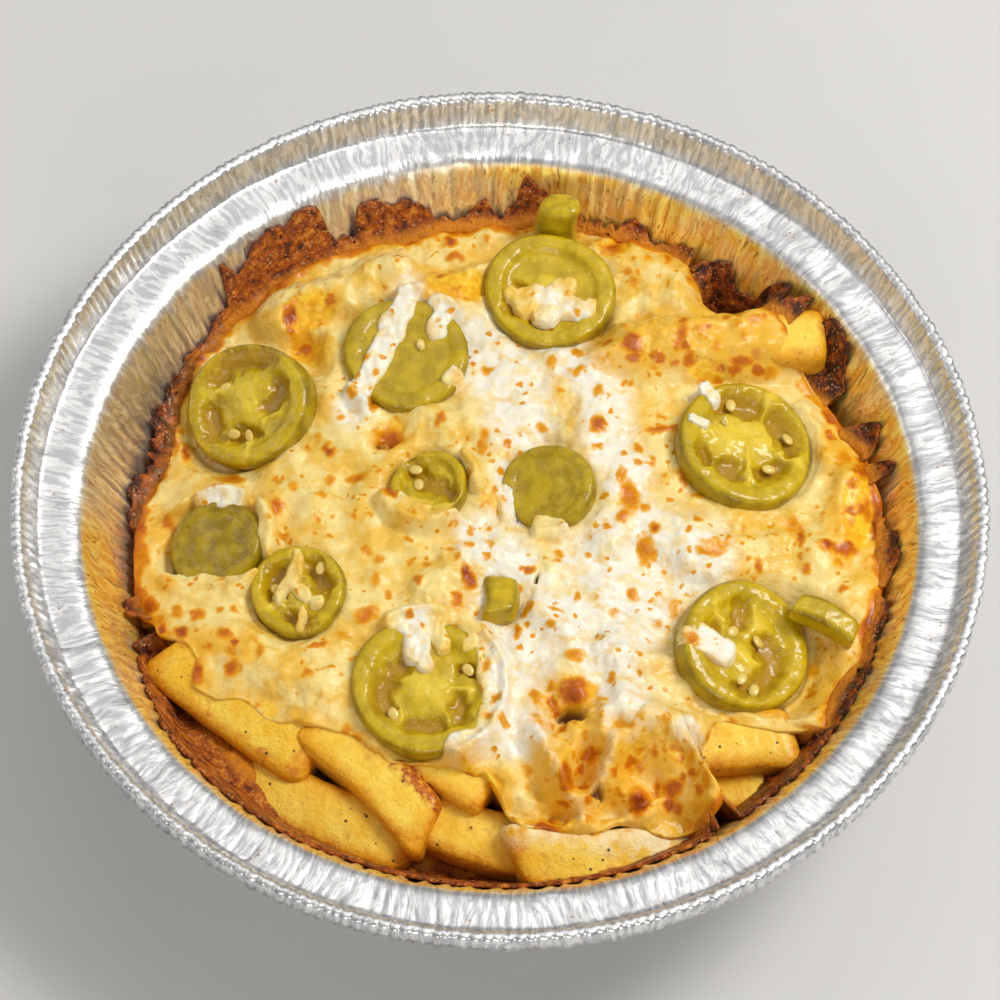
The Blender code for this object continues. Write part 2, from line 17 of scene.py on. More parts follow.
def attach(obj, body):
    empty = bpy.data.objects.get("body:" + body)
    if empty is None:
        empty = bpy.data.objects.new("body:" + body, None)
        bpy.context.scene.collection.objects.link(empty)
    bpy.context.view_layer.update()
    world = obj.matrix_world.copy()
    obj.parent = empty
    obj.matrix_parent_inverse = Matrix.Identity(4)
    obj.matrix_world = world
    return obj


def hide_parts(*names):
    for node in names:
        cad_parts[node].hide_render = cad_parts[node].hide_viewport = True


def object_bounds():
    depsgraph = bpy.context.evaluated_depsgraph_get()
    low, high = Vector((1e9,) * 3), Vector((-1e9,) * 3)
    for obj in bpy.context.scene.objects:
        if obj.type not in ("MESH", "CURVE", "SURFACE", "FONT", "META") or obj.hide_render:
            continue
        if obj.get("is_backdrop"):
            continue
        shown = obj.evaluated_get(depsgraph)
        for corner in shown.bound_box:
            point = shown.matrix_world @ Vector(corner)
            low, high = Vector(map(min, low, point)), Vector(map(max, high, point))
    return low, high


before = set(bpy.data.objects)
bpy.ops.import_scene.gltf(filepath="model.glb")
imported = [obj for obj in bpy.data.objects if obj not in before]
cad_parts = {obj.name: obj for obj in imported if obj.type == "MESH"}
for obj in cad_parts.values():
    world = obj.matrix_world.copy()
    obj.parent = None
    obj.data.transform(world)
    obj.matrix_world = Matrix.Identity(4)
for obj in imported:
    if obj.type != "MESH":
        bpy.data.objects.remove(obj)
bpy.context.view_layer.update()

MM = 0.001


# Camera, table and light
# The pan is seen from its near side, 60 degrees above the table, by a long lens that leans two
# degrees to one side. It stands on a pale table under a broad soft light from above and behind.

CAMERA_TARGET = Vector((0, 0, 45.8))
CAMERA_DISTANCE = 900
CAMERA_ELEVATION = math.radians(60.1)
CAMERA_ROLL = math.radians(2.1)
CAMERA_LENS = 175.46
CAMERA_SENSOR = 36
CAMERA_SHIFT = (-0.0005, -0.0052)
IMAGE_SIZE = 1000

gaze = Vector((0, math.cos(CAMERA_ELEVATION), -math.sin(CAMERA_ELEVATION)))
level = Vector((1, 0, 0))
upright = level.cross(gaze)
camera_right = level * math.cos(CAMERA_ROLL) + upright * math.sin(CAMERA_ROLL)
camera_up = upright * math.cos(CAMERA_ROLL) - level * math.sin(CAMERA_ROLL)
camera_place = CAMERA_TARGET - gaze * CAMERA_DISTANCE

camera_data = bpy.data.cameras.new("camera")
camera_data.lens = CAMERA_LENS
camera_data.sensor_width = CAMERA_SENSOR
camera_data.shift_x, camera_data.shift_y = CAMERA_SHIFT
camera = bpy.data.objects.new("camera", camera_data)
camera.matrix_world = (Matrix.Translation(camera_place * MM)
                       @ Matrix((camera_right, camera_up, -gaze)).transposed().to_4x4())
bpy.context.scene.collection.objects.link(camera)
bpy.context.scene.camera = camera
bpy.context.scene.view_settings.view_transform = "Standard"


def pixel_ray(u, v):
    """Direction from the camera through a pixel of the photograph."""
    across = ((u - IMAGE_SIZE / 2) / IMAGE_SIZE + CAMERA_SHIFT[0]) * CAMERA_SENSOR / CAMERA_LENS
    along = ((IMAGE_SIZE / 2 - v) / IMAGE_SIZE + CAMERA_SHIFT[1]) * CAMERA_SENSOR / CAMERA_LENS
    return (camera_right * across + camera_up * along + gaze).normalized()


def pixels_of(points):
    """Columns and rows of the photograph on which points show."""
    away = points - np.array(camera_place)
    depth = away @ np.array(gaze)
    lens = CAMERA_LENS / CAMERA_SENSOR
    across = away @ np.array(camera_right) / depth * lens - CAMERA_SHIFT[0]
    along = away @ np.array(camera_up) / depth * lens - CAMERA_SHIFT[1]
    return np.stack([IMAGE_SIZE * (0.5 + across), IMAGE_SIZE * (0.5 - along)], 1)


class Wire:
    """One output socket of a material, so that its maths reads as plain expressions."""

    def __init__(self, finish, socket):
        self.finish = finish
        self.socket = socket

    def maths(self, operation, *others):
        values = dict(enumerate((self, *others)))
        return self.finish.node("Math", {"operation": operation}, values)

    def __add__(self, other):
        return self.maths("ADD", other)

    def __sub__(self, other):
        return self.maths("SUBTRACT", other)

    def __mul__(self, other):
        return self.maths("MULTIPLY", other)

    def __truediv__(self, other):
        return self.maths("DIVIDE", other)

    def __rsub__(self, other):
        return self.finish.node("Math", {"operation": "SUBTRACT"}, {0: other, 1: self})

    __radd__ = __add__
    __rmul__ = __mul__

    def at_most(self, other):
        return self.maths("MINIMUM", other)

    def at_least(self, other):
        return self.maths("MAXIMUM", other)

    def step(self, low, high):
        """Smooth step from 0 at low to 1 at high."""
        return self.finish.node("MapRange", {"interpolation_type": "SMOOTHSTEP"},
                                {"Value": self, "From Min": low, "From Max": high})


class Finish:
    """A material being put together: nodes go in by kind, settings and sockets."""

    def __init__(self, name, **constants):
        self.material = bpy.data.materials.new(name)
        self.material.use_nodes = True
        self.tree = self.material.node_tree
        self.shader = self.tree.nodes["Principled BSDF"]
        for socket, value in constants.items():
            self.feed(socket.replace("_", " "), value)
        place = self.node("TexCoord", output="Object")
        self.place = self.node("VectorMath", {"operation": "SCALE"}, {0: place, "Scale": 1 / MM})

    def feed(self, socket, value):
        self.connect(self.shader.inputs[socket], value)

    def connect(self, socket, value):
        if isinstance(value, Wire):
            self.tree.links.new(value.socket, socket)
        else:
            socket.default_value = value

    def node(self, kind, settings=None, values=None, output=0):
        made = self.tree.nodes.new("ShaderNode" + kind)
        for key, value in (settings or {}).items():
            if key == "stops":
                ramp = made.color_ramp
                while len(ramp.elements) < len(value):
                    ramp.elements.new(0.5)
                for element, (position, colour) in zip(ramp.elements, value):
                    element.position = position
                    element.color = (*colour, 1)
            else:
                setattr(made, key, value)
        for key, value in (values or {}).items():
            self.connect(made.inputs[key], value)
        return Wire(self, made.outputs[output])

    def noise(self, size, detail=2, vector=None, roughness=0.5):
        """Soft noise about 0.5, with lumps of a size in millimetres."""
        return self.node("TexNoise", None, {"Vector": vector or self.place, "Scale": 1 / size,
                                            "Detail": detail, "Roughness": roughness})

    def cells(self, size, vector=None):
        """Distance from the middles of scattered cells of a size in millimetres, in cells."""
        return self.node("TexVoronoi", None, {"Vector": vector or self.place,
                                              "Scale": 1 / size}, "Distance")

    def warped(self, size, reach, vector=None):
        """A place pushed about by up to a reach, over lumps of a size in millimetres."""
        push = self.node("TexNoise", None, {"Vector": self.place, "Scale": 1 / size}, "Color")
        return self.node("VectorMath", {"operation": "MULTIPLY_ADD"},
                         {0: push, 1: (reach, reach, reach), 2: vector or self.place})

    def field(self, name):
        """A value that the mesh carries at its points."""
        return self.node("Attribute", {"attribute_name": name}, None, "Fac")

    def mix(self, share, first, second):
        """Colour between two colours."""
        sides = [colour if isinstance(colour, Wire) else (*colour, 1)
                 for colour in (first, second)]
        return self.node("Mix", {"data_type": "RGBA"}, {0: share, 6: sides[0], 7: sides[1]}, 2)

    def ramp(self, value, *stops):
        return self.node("ValToRGB", {"stops": stops}, {0: value})

    def bump(self, height, depth, strength=1.0):
        """Relief of a depth in millimetres."""
        normal = self.node("Bump", None, {"Height": height, "Distance": depth * MM,
                                          "Strength": strength}, "Normal")
        self.feed("Normal", normal)


TABLE_SIZE = 3000
STUDIO_COLOUR = (1.0, 0.985, 0.96, 1)
STUDIO_STRENGTH = 0.32

table_mesh = bmesh.new()
bmesh.ops.create_grid(table_mesh, x_segments=1, y_segments=1, size=TABLE_SIZE * MM / 2)
table_data = bpy.data.meshes.new("table")
table_mesh.to_mesh(table_data)
table_mesh.free()
table_finish = Finish("table", Roughness=0.9)
table_grain = table_finish.noise(40, 4)
table_finish.feed("Base Color", table_finish.mix(
    table_grain, (0.66, 0.655, 0.65), (0.70, 0.695, 0.69)))
table_data.materials.append(table_finish.material)
table = bpy.data.objects.new("table", table_data)
bpy.context.scene.collection.objects.link(table)
table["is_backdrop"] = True

world = bpy.data.worlds.new("studio")
world.use_nodes = True
backdrop = world.node_tree.nodes["Background"]
backdrop.inputs["Color"].default_value = STUDIO_COLOUR
backdrop.inputs["Strength"].default_value = STUDIO_STRENGTH
bpy.context.scene.world = world


def add_panel(name, place, size, power, colour):
    """Square softbox that faces the pan from a place in millimetres."""
    data = bpy.data.lights.new(name, "AREA")
    data.size = size * MM
    data.energy = power
    data.color = colour
    panel = bpy.data.objects.new(name, data)
    panel.location = Vector(place) * MM
    panel.rotation_euler = (-Vector(place)).to_track_quat("-Z", "Y").to_euler()
    bpy.context.scene.collection.objects.link(panel)


# Name, place, size of its side, power in watts, colour
add_panel("panel_above", (0, 430, 950), 900, 1.6, (1.0, 0.99, 0.97))
add_panel("panel_key", (500, 120, 800), 330, 5.6, (1.0, 0.98, 0.94))
add_panel("panel_left", (-800, 100, 600), 400, 0.8, (1.0, 0.98, 0.95))
add_panel("panel_front", (0, -850, 500), 400, 1.8, (1.0, 0.97, 0.93))


# The foil pan
# A round takeout pan pressed from one sheet of thin aluminium. The press leaves uneven flutes in
# its wall, a smooth bright shoulder, faint radial creases in the ledge and a tightly crimped lip.

PAN_FOIL = 0.4
LEDGE_HEIGHT = 39.8
LEDGE_INNER_RADIUS = 78.1
LEDGE_OUTER_RADIUS = 86.1
WALL_SLOPE = 0.5
PAN_STEPS = 1280
# Corners of the sheet's section: radius, height, length rounded off, steps on the way there
PAN_PATH = ((0, 0, 0, 0), (58.2, 0, 3.2, 1), (LEDGE_INNER_RADIUS, LEDGE_HEIGHT, 2.4, 8),
            (LEDGE_OUTER_RADIUS, LEDGE_HEIGHT, 1.2, 4), (88.7, 45.5, 0.6, 2),
            (90.0, 45.5, 0.6, 1), (89.8, 41.6, 0, 2))
PATH_ROUND_STEPS = 4
FLUTES = 128
FLUTE_DEPTH = 0.9
LEDGE_CREASES = 250
LEDGE_CREASE_DEPTH = 0.20
LIP_CRIMPS = 310
LIP_CRIMP_DEPTH = 0.6
CREASE_CIRCLE = 80          # radius of the circle on which the creases' noise is measured


def path_points(path):
    """Points along a path of straight runs with rounded corners."""
    corners = [Vector(corner[:2]) for corner in path]
    made = [corners[0]]
    for i in range(1, len(path)):
        back = (corners[i - 1] - corners[i]).normalized()
        before = corners[i] + back * path[i][2]
        start = made[-1]
        made += [start.lerp(before, k / path[i][3]) for k in range(1, path[i][3] + 1)]
        if i == len(path) - 1 or path[i][2] == 0:
            continue
        ahead = corners[i] + (corners[i + 1] - corners[i]).normalized() * path[i][2]
        for k in range(1, PATH_ROUND_STEPS + 1):
            share = k / PATH_ROUND_STEPS
            made.append(before.lerp(corners[i], share).lerp(corners[i].lerp(ahead, share), share))
    return made


def points_of(mesh):
    return np.array([vertex.co for vertex in mesh.verts])


def on_circles(radius, azimuth, height=0.0):
    """Points at a radius, an azimuth in degrees and a height."""
    angle = np.radians(azimuth)
    return np.stack([radius * np.cos(angle), radius * np.sin(angle), height + 0 * angle], 1)


def move_points(vertices, points):
    for vertex, point in zip(vertices, points):
        vertex.co = point


def turned(profile, steps):
    """Sheet turned round Z from points of radius and height: a grid rolled up and welded."""
    mesh = bmesh.new()
    rows = len(profile) - 1
    bmesh.ops.create_grid(mesh, x_segments=steps, y_segments=rows, size=1.0)
    flat = points_of(mesh)
    line = np.array(profile)[np.rint((flat[:, 1] + 1) / 2 * rows).astype(int)]
    move_points(mesh.verts, on_circles(line[:, 0], 180 * flat[:, 0], line[:, 1]))
    bmesh.ops.remove_doubles(mesh, verts=mesh.verts[:], dist=0.001)
    return mesh


def smooth(low, high, value):
    """Smooth step from 0 at low to 1 at high."""
    share = np.clip((value - low) / (high - low), 0, 1)
    return share * share * (3 - 2 * share)


def folds(azimuth, count, seed, power=1.6, tilt=0.0):
    """Uneven ridges from 0 to 1 round the pan: a high power makes them flat, with sharp valleys."""
    draw = np.random.default_rng(seed)
    widths = draw.uniform(0.55, 1.45, count)
    ends = np.concatenate(([0], np.cumsum(widths))) * 360 / widths.sum()
    heights = draw.uniform(0.45, 1.0, count)
    tilts = draw.uniform(-tilt, tilt, count)
    azimuth = np.mod(azimuth, 360)
    index = np.clip(np.searchsorted(ends, azimuth, side="right") - 1, 0, count - 1)
    across = 2 * (azimuth - ends[index]) / (ends[index + 1] - ends[index]) - 1
    return heights[index] * (1 - np.abs(across) ** power) + tilts[index] * across


def lumps(points, size, seed=0.0, octaves=2):
    """Smooth noise about 0 at points, with lumps of a size in millimetres."""
    shift = Vector((seed, 1.7 * seed, -seed))
    return np.array([noise.fractal(Vector(point) / size + shift, 1.0, 2.0, octaves)
                     for point in points])


def polar_of(x, y):
    """Radius and azimuth in degrees."""
    return np.hypot(x, y), np.mod(np.degrees(np.arctan2(y, x)), 360)


def polar(points):
    return polar_of(points[:, 0], points[:, 1])


def settle(name, mesh, finish, slot, *nodes, facing_out=False):
    """Makes a mesh in millimetres a finished piece that stands for its CAD nodes."""
    if not facing_out:
        bmesh.ops.recalc_face_normals(mesh, faces=mesh.faces[:])
    bmesh.ops.scale(mesh, vec=(MM, MM, MM), verts=mesh.verts[:])
    data = bpy.data.meshes.new(name)
    mesh.to_mesh(data)
    mesh.free()
    data.shade_smooth()
    data.materials.append(finish.material)
    piece = bpy.data.objects.new(name, data)
    bpy.context.scene.collection.objects.link(piece)
    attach(piece, "root")
    if nodes:
        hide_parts(*nodes)
    return piece


def carry(piece, name, values):
    """Stores a value at each point of a piece's mesh."""
    field = piece.data.attributes.new(name, "FLOAT", "POINT")
    field.data.foreach_set("value", np.asarray(values, np.float32))


pan_mesh = turned(path_points(PAN_PATH), PAN_STEPS)
sheet = points_of(pan_mesh)
radius, azimuth = polar(sheet)
height = sheet[:, 2]
round_the_pan = sheet.copy()
round_the_pan[:, 2] = 0
lean = 1.6 * lumps(round_the_pan, 14, 3.1) * height / LEDGE_HEIGHT
on_wall = (smooth(2, 22, height) * (1 - smooth(36.5, 39.2, height))
           * (radius < LEDGE_INNER_RADIUS + 0.5))
on_ledge = ((height > LEDGE_HEIGHT - 1) & (radius < LEDGE_OUTER_RADIUS + 0.2)) * smooth(
    LEDGE_INNER_RADIUS + 0.4, LEDGE_INNER_RADIUS + 4, radius)
on_lip = smooth(LEDGE_OUTER_RADIUS, LEDGE_OUTER_RADIUS + 1.0, radius)
flute = (folds(azimuth + lean, FLUTES, 11, 2.4) + 0.35 * folds(azimuth - lean, 2 * FLUTES, 12)
         - 0.5)
shear = 0.4 * (radius - LEDGE_INNER_RADIUS) * lumps(round_the_pan, 12, 9.1)
crease = folds(azimuth + shear, LEDGE_CREASES, 13, 5.0, 0.45) - 0.4
crimp = folds(azimuth, LIP_CRIMPS, 14) - 0.4
near_side = 0.35 + 0.9 * smooth(-0.5, 0.6, -np.sin(np.radians(azimuth - 12)))
outward = FLUTE_DEPTH * flute * on_wall + LIP_CRIMP_DEPTH * crimp * on_lip
sheet[:, :2] *= (1 + outward / np.maximum(radius, 1))[:, None]
shoulder_wave = 0.35 * lumps(round_the_pan, 7, 8.8) * smooth(35, 38, height) * (1 - on_lip)
sheet[:, 2] += (LEDGE_CREASE_DEPTH * near_side * crease * on_ledge + shoulder_wave
                + 0.25 * LIP_CRIMP_DEPTH * crimp * on_lip)
move_points(pan_mesh.verts, sheet)

foil = Finish("pressed_foil")
flattened = foil.node("VectorMath", {"operation": "MULTIPLY"}, {0: foil.place, 1: (1, 1, 0)})
foil_radius = foil.node("VectorMath", {"operation": "LENGTH"}, {0: flattened}, "Value")
foil_height = foil.node("SeparateXYZ", None, {0: foil.place}, "Z")
foil_side = foil.node("VectorMath", {"operation": "NORMALIZE"}, {0: flattened})
# Creases run down the wall and across the ledge, so their noise is long that way
along_folds = foil.node("VectorMath", {"operation": "MULTIPLY_ADD"},
                        {0: foil_side, 1: (CREASE_CIRCLE,) * 3, 2: foil.node(
                            "CombineXYZ", None, {"Z": (foil_radius + foil_height) * 0.10})})
along_folds = foil.warped(12, 6, along_folds)
streaks = foil.noise(0.9, 3, along_folds, 0.6)
wrinkles = foil.noise(1.6, 4, None, 0.65)
# The sheet's inner face lies nearer to the axis than the points that it was made from
inner_face = (foil.field("reach") - foil_radius).step(0.08, 0.22)
inside = inner_face * (1 - foil_radius.step(77.0, 78.6))
stain = foil.noise(9, 3, None, 0.6)
grease = inside * foil_height.step(8, 26) * (0.6 + 0.7 * stain.step(0.3, 0.65))
metal = foil.mix(streaks.step(0.42, 0.58), (0.62, 0.63, 0.65), (0.92, 0.92, 0.92))
warm = foil.mix(streaks.step(0.40, 0.60), (0.90, 0.47, 0.025), (1.0, 0.74, 0.13))
toward_clean, toward_far = [
    foil.node("VectorMath", {"operation": "DOT_PRODUCT"}, {0: foil_side, 1: heading}, "Value")
    for heading in ((-0.75, 0.66, 0), (0.35, 0.94, 0))]
cleaner = toward_clean.step(0.55, 0.95)
# Painted reflection: the far wall is made more golden for the food that it mirrors, on top of the
# baked-on grease, and the upper left is kept cleaner
far_side = toward_far.step(0.3, 0.85)
grease = grease.at_least(far_side * inside * (0.75 + 0.3 * stain)) * (1 - 0.75 * cleaner)
metal = foil.mix((grease * 0.9).at_most(0.94), metal, warm)
furrows = foil.noise(0.55, 2, along_folds, 0.5).step(0.60, 0.68)
metal = foil.mix(furrows * (0.12 + 0.6 * grease), metal, (0.34, 0.16, 0.03))
foil.feed("Metallic", 1 - grease * 0.35)
specks = (1 - foil.cells(1.5).step(0.10, 0.2)) * foil.noise(6, 2).step(0.52, 0.62)
specks = specks * foil_radius.step(79, 84) + specks * inside * 0.5
metal = foil.mix(specks.at_most(0.8), metal, (0.45, 0.20, 0.06))
foil.feed("Base Color", metal)
foil.feed("Roughness", 0.30 + wrinkles.step(0.35, 0.75) * 0.15 + grease * 0.1)
foil.bump(streaks * 0.7 + wrinkles * 0.4, 0.17, 0.9)

bmesh.ops.recalc_face_normals(pan_mesh, faces=pan_mesh.faces[:])
if min(pan_mesh.faces, key=lambda face: face.calc_center_median().z).normal.z > 0:
    bmesh.ops.reverse_faces(pan_mesh, faces=pan_mesh.faces[:])
pan = settle("pan", pan_mesh, foil, "foil", "foil_pan", facing_out=True)
carry(pan, "reach", np.hypot(sheet[:, 0], sheet[:, 1]))
sheet_thickness = pan.modifiers.new("Sheet", "SOLIDIFY")
sheet_thickness.thickness = PAN_FOIL * MM
sheet_thickness.offset = -1.0


# The fries
# Thick-cut potatoes, fried and then baked again. Nine of them lie bare round the near side, over
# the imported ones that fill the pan. Each is a bar with soft edges, a slight bow and rough skin.

DOME_HEIGHT = 36.2
DOME_POWER = 2.4
FOOD_LIMIT = 39.4
CHEESE_THICKNESS = 2.8
WALL_GAP = 1.1              # between the wall's line and the food
CHEESE_EDGE = (             # azimuth in degrees, radius, height
    (0, 70.5, 31.5), (15, 71.5, 31), (21, 68.5, 31), (33, 67, 31.5), (42, 69, 31),
    (52, 63, 30.5), (58, 66.5, 30), (64, 71.5, 29.5), (90, 71, 29), (98, 69, 29),
    (110, 68.3, 29), (120, 69, 28.5), (128, 71.5, 28), (146, 71, 27), (153, 70, 26),
    (158, 67, 25.5), (163, 65, 25.5), (172, 66.5, 25), (187, 67.8, 24.5), (193, 68, 25.5),
    (199, 65.5, 28.5), (207, 63, 31), (218, 58.5, 32), (230, 54, 32), (242, 51.5, 32),
    (262, 48.5, 32), (268, 50.5, 31), (277, 59, 30), (292, 61, 30.5), (300, 65.5, 30),
    (307, 68, 29.5), (312, 58, 32), (318, 55, 32.5), (324, 62, 31), (329, 70.5, 29.5),
    (343, 71.8, 30.5), (352, 71.5, 31.5),
)
BARE_BED = ((0, 24), (60, 22), (120, 22), (150, 17), (170, 15), (195, 17), (215, 20),
            (250, 18), (300, 17), (325, 21))
# One end, the other end, width, height, sideways bow, roll in degrees
BARE_FRIES = {
    "long_left": ((-60.5, -24.5, 25.2), (-32, -45.3, 24), 13.5, 10.5, -0.9, -18),
    "middle_left": ((-32.5, -39.5, 27), (-10.5, -60, 24.3), 11.5, 9.5, 1.0, -10),
    "low_left": ((-45, -46, 20.6), (-12.5, -60, 20), 12.5, 9, -2.6, -12),
    "burnt": ((-23, -40.5, 27), (0, -52.5, 25.5), 11, 9, 1, -5),
    "low_middle": ((-12, -55, 22), (14.5, -61, 20), 11, 8.5, -1.5, -10),
    "bright": ((4, -63.9, 25.5), (40, -56.4, 21.3), 11.7, 9, -3, -20),
    "short_right": ((34, -40, 25.5), (56, -38.5, 24.5), 12, 9.5, 0.5, -12),
    "tucked_right": ((40, -48, 19), (51.5, -45.5, 19), 9, 8, 0, 0),
    "far_right": ((42, 42, 32.3), (61, 43.5, 33.3), 10.5, 9.5, -0.3, -6),
}
COVERED_FRIES = {
    "left_end": ((-65, -2, 20.5), (-59.5, -19.5, 21.5), 10, 8.5, -1, 0),
    "arch_left": ((9.5, -38, 29), (12.5, -54.5, 25.5), 9, 8.5, 0, 0),
    "arch_middle": ((13, -32, 30), (21.5, -51, 27), 9.5, 9, 1.5, 0),
    "arch_right": ((24, -38, 30), (40, -53.5, 27.5), 12, 9.5, 1.5, 6),
    "right_edge": ((57, -36, 25), (66.5, -10, 27), 9.5, 9, 2.5, 0),
    "right_end": ((60, -3, 28), (66.5, 11.5, 27.5), 10.5, 9, 0, 8),
    "far_left": ((-42, 46, 27.5), (-22, 53, 30), 10, 9, 0, 0),
    "far_middle": ((-16, 48, 31), (8, 58, 29.5), 10, 9, 0, 0),
    "far_edge": ((19, 63, 26), (35, 54, 28), 10.5, 9, 0, 0),
    "far_right_inner": ((20, 39, 31.5), (49, 43, 33), 11, 9.5, -1.2, 12),
}
# Jalapeno slices: middle of the cut face, radius, thickness, tilt, azimuth that it faces
SLICES = {
    "jalapeno_1": ((-49, 25, 33.2), 12.3, 6, 29, 212),
    "jalapeno_2": ((-19, 35.5, 37), 11.7, 6, 5, 240),
    "jalapeno_3": ((8, 51.5, 36), 12.2, 6, 6, 262),
    "jalapeno_5": ((46, 19, 36), 13.2, 5.5, 14, 14),
    "jalapeno_9": ((-37, -15.5, 35), 8.9, 5, 15, 209),
    "jalapeno_10": ((-12.5, -35, 36), 13.4, 5.5, 6, 250),
    "jalapeno_11": ((46.5, -23, 33.8), 12.8, 5.5, 24, 350),
    "jalapeno_6": ((8.8, 7.4, 37.2), 8.6, 5, 14, 203),
    "jalapeno_7": ((-13.5, 7, 37.2), 7.4, 4.5, 12, 139),
    "jalapeno_8": ((-53, -4.5, 31.5), 9, 9, 24, 200),
}
SLICE_SINK = 2.0            # how far the cheese round a slice stays below its cut face
DIP_SLOPE = 0.9


def round_curve(knots, azimuth, column):
    """Values at azimuths, on a smooth closed curve through the knots."""
    places = np.array([knot[0] for knot in knots] + [knots[0][0] + 360], float)
    values = np.array([knot[column] for knot in knots] + [knots[0][column]], float)
    azimuth = np.mod(azimuth, 360)
    index = np.searchsorted(places, azimuth, side="right") - 1
    share = (azimuth - places[index]) / (places[index + 1] - places[index])
    share = share * share * (3 - 2 * share)
    return values[index] + share * (values[index + 1] - values[index])


def touching_wall(azimuth):
    """1 where the cheese reaches the wall, 0 where fries lie bare between them."""
    return smooth(8.0, 4.0, wall_radius(edge_height(azimuth)) - edge_radius(azimuth))


def wall_radius(height):
    """Radius that food may reach at a height."""
    return LEDGE_INNER_RADIUS - (LEDGE_HEIGHT - height) * WALL_SLOPE - WALL_GAP


def keep_inside(points):
    """Points, those that would pass through the pan's wall pressed back against it."""
    radius = np.hypot(points[:, 0], points[:, 1])
    room = wall_radius(points[:, 2]) + 0.25
    points[:, :2] *= np.minimum(1, room / np.maximum(radius, 1e-6))[:, None]
    return points


def edge_height(azimuth):
    return round_curve(CHEESE_EDGE, azimuth, 2)


def edge_radius(azimuth):
    """Radius of the cheese's edge, which leaves room for the crust on the wall."""
    room = wall_radius(edge_height(azimuth)) - 1.8
    return np.minimum(round_curve(CHEESE_EDGE, azimuth, 1), room)


def soft_max(first, second, blend):
    """Larger of two, with the corner between them rounded over a blend in millimetres."""
    share = np.clip(0.5 + 0.5 * (first - second) / blend, 0, 1)
    return second + (first - second) * share + blend * share * (1 - share)


def fry_crown(fry, x, y):
    """Top of a fry's rounded back over points, far below it beside the fry."""
    start, end, width, height, bow, _ = fry
    run = np.array((end[0] - start[0], end[1] - start[1]), float)
    length = np.hypot(*run)
    run /= length
    along = np.clip(((x - start[0]) * run[0] + (y - start[1]) * run[1]) / length, 0, 1)
    sideways = bow * 4 * along * (1 - along)
    dx = x - (start[0] + run[0] * along * length - run[1] * sideways)
    dy = y - (start[1] + run[1] * along * length + run[0] * sideways)
    beside = np.hypot(dx, dy) / (0.62 * width)
    axis = start[2] + along * (end[2] - start[2])
    return axis + 0.5 * height * (1 - 1.0 * beside ** 2) - 2.5 * np.maximum(beside - 1, 0)


def dip_height(x, y, centre, slice_radius, tilt, facing):
    """Highest that the cheese may be over points, so that a slice's cut face stays open."""
    dx = x - centre[0]
    dy = y - centre[1]
    away = np.hypot(dx, dy)
    toward = dx * math.cos(math.radians(facing)) + dy * math.sin(math.radians(facing))
    inside = np.minimum(1.0, slice_radius / np.maximum(away, 0.001))
    plane = centre[2] - toward * inside * math.tan(math.radians(tilt))
    return plane - SLICE_SINK + np.maximum(away - slice_radius, 0.0) * DIP_SLOPE


def dome(x, y):
    """Smooth top of the cheese, before fries lift it and slices press it down."""
    radius, azimuth = polar_of(x, y)
    rim = edge_height(azimuth)
    share = np.minimum(radius / edge_radius(azimuth), 1.0)
    return rim + (DOME_HEIGHT - rim) * (1 - share ** DOME_POWER)


def food_top(x, y):
    """Top of the cheese over points."""
    top = dome(x, y)
    for fry in COVERED_FRIES.values():
        top = soft_max(top, fry_crown(fry, x, y) + CHEESE_THICKNESS, 2.0)
    for centre, slice_radius, _, tilt, facing in SLICES.values():
        top = -soft_max(-top, -dip_height(x, y, centre, slice_radius, tilt, facing), 0.8)
    return np.minimum(top, FOOD_LIMIT)


def bed_top(x, y):
    """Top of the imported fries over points."""
    radius, azimuth = polar_of(x, y)
    inside = np.clip((edge_radius(azimuth) - radius + 1.5) / 5.0, 0, 1)
    bare = round_curve(BARE_BED, azimuth, 1)
    reaches_wall = edge_radius(azimuth) > wall_radius(edge_height(azimuth)) - 3.5
    inside = np.where(reaches_wall, 1.0, inside)
    covered = dome(x, y) - CHEESE_THICKNESS
    for centre, slice_radius, _, tilt, facing in SLICES.values():
        dip = dip_height(x, y, centre, slice_radius, tilt, facing)
        covered = np.minimum(covered, dip - CHEESE_THICKNESS)
    return bare + inside * (covered - bare)


def disc(cells):
    """Flat unit disc of even quads: a square grid with its corners drawn in."""
    mesh = bmesh.new()
    bmesh.ops.create_grid(mesh, x_segments=cells, y_segments=cells, size=1.0)
    flat = points_of(mesh)
    s, t = flat[:, 0], flat[:, 1]
    wide = np.abs(s) >= np.abs(t)
    reach = np.where(wide, s, t)
    safe = np.where(np.abs(reach) < 1e-9, 1.0, reach)
    turn = np.where(wide, math.pi / 4 * t / safe, math.pi / 2 - math.pi / 4 * s / safe)
    flat[:, 0] = reach * np.cos(turn)
    flat[:, 1] = reach * np.sin(turn)
    move_points(mesh.verts, flat)
    return mesh


def skirt(mesh, place):
    """Adds a row of faces round the open edge, its new points placed by a function."""
    rim = [edge for edge in mesh.edges if edge.is_boundary]
    made = bmesh.ops.extrude_edge_only(mesh, edges=rim)["geom"]
    fresh = [item for item in made if isinstance(item, bmesh.types.BMVert)]
    move_points(fresh, place(np.array([vertex.co for vertex in fresh])))
    return fresh


def at_ring(radius_of, height_of):
    """Placing function for a skirt: round the axis, at a radius and height for each azimuth."""
    def place(points):
        _, azimuth = polar(points)
        return on_circles(radius_of(azimuth), azimuth, height_of(azimuth))
    return place


def close_skirt(mesh, point):
    """Closes the open edge to one point."""
    fresh = skirt(mesh, lambda points: points * 0 + np.array(point))
    bmesh.ops.pointmerge(mesh, verts=fresh, merge_co=point)


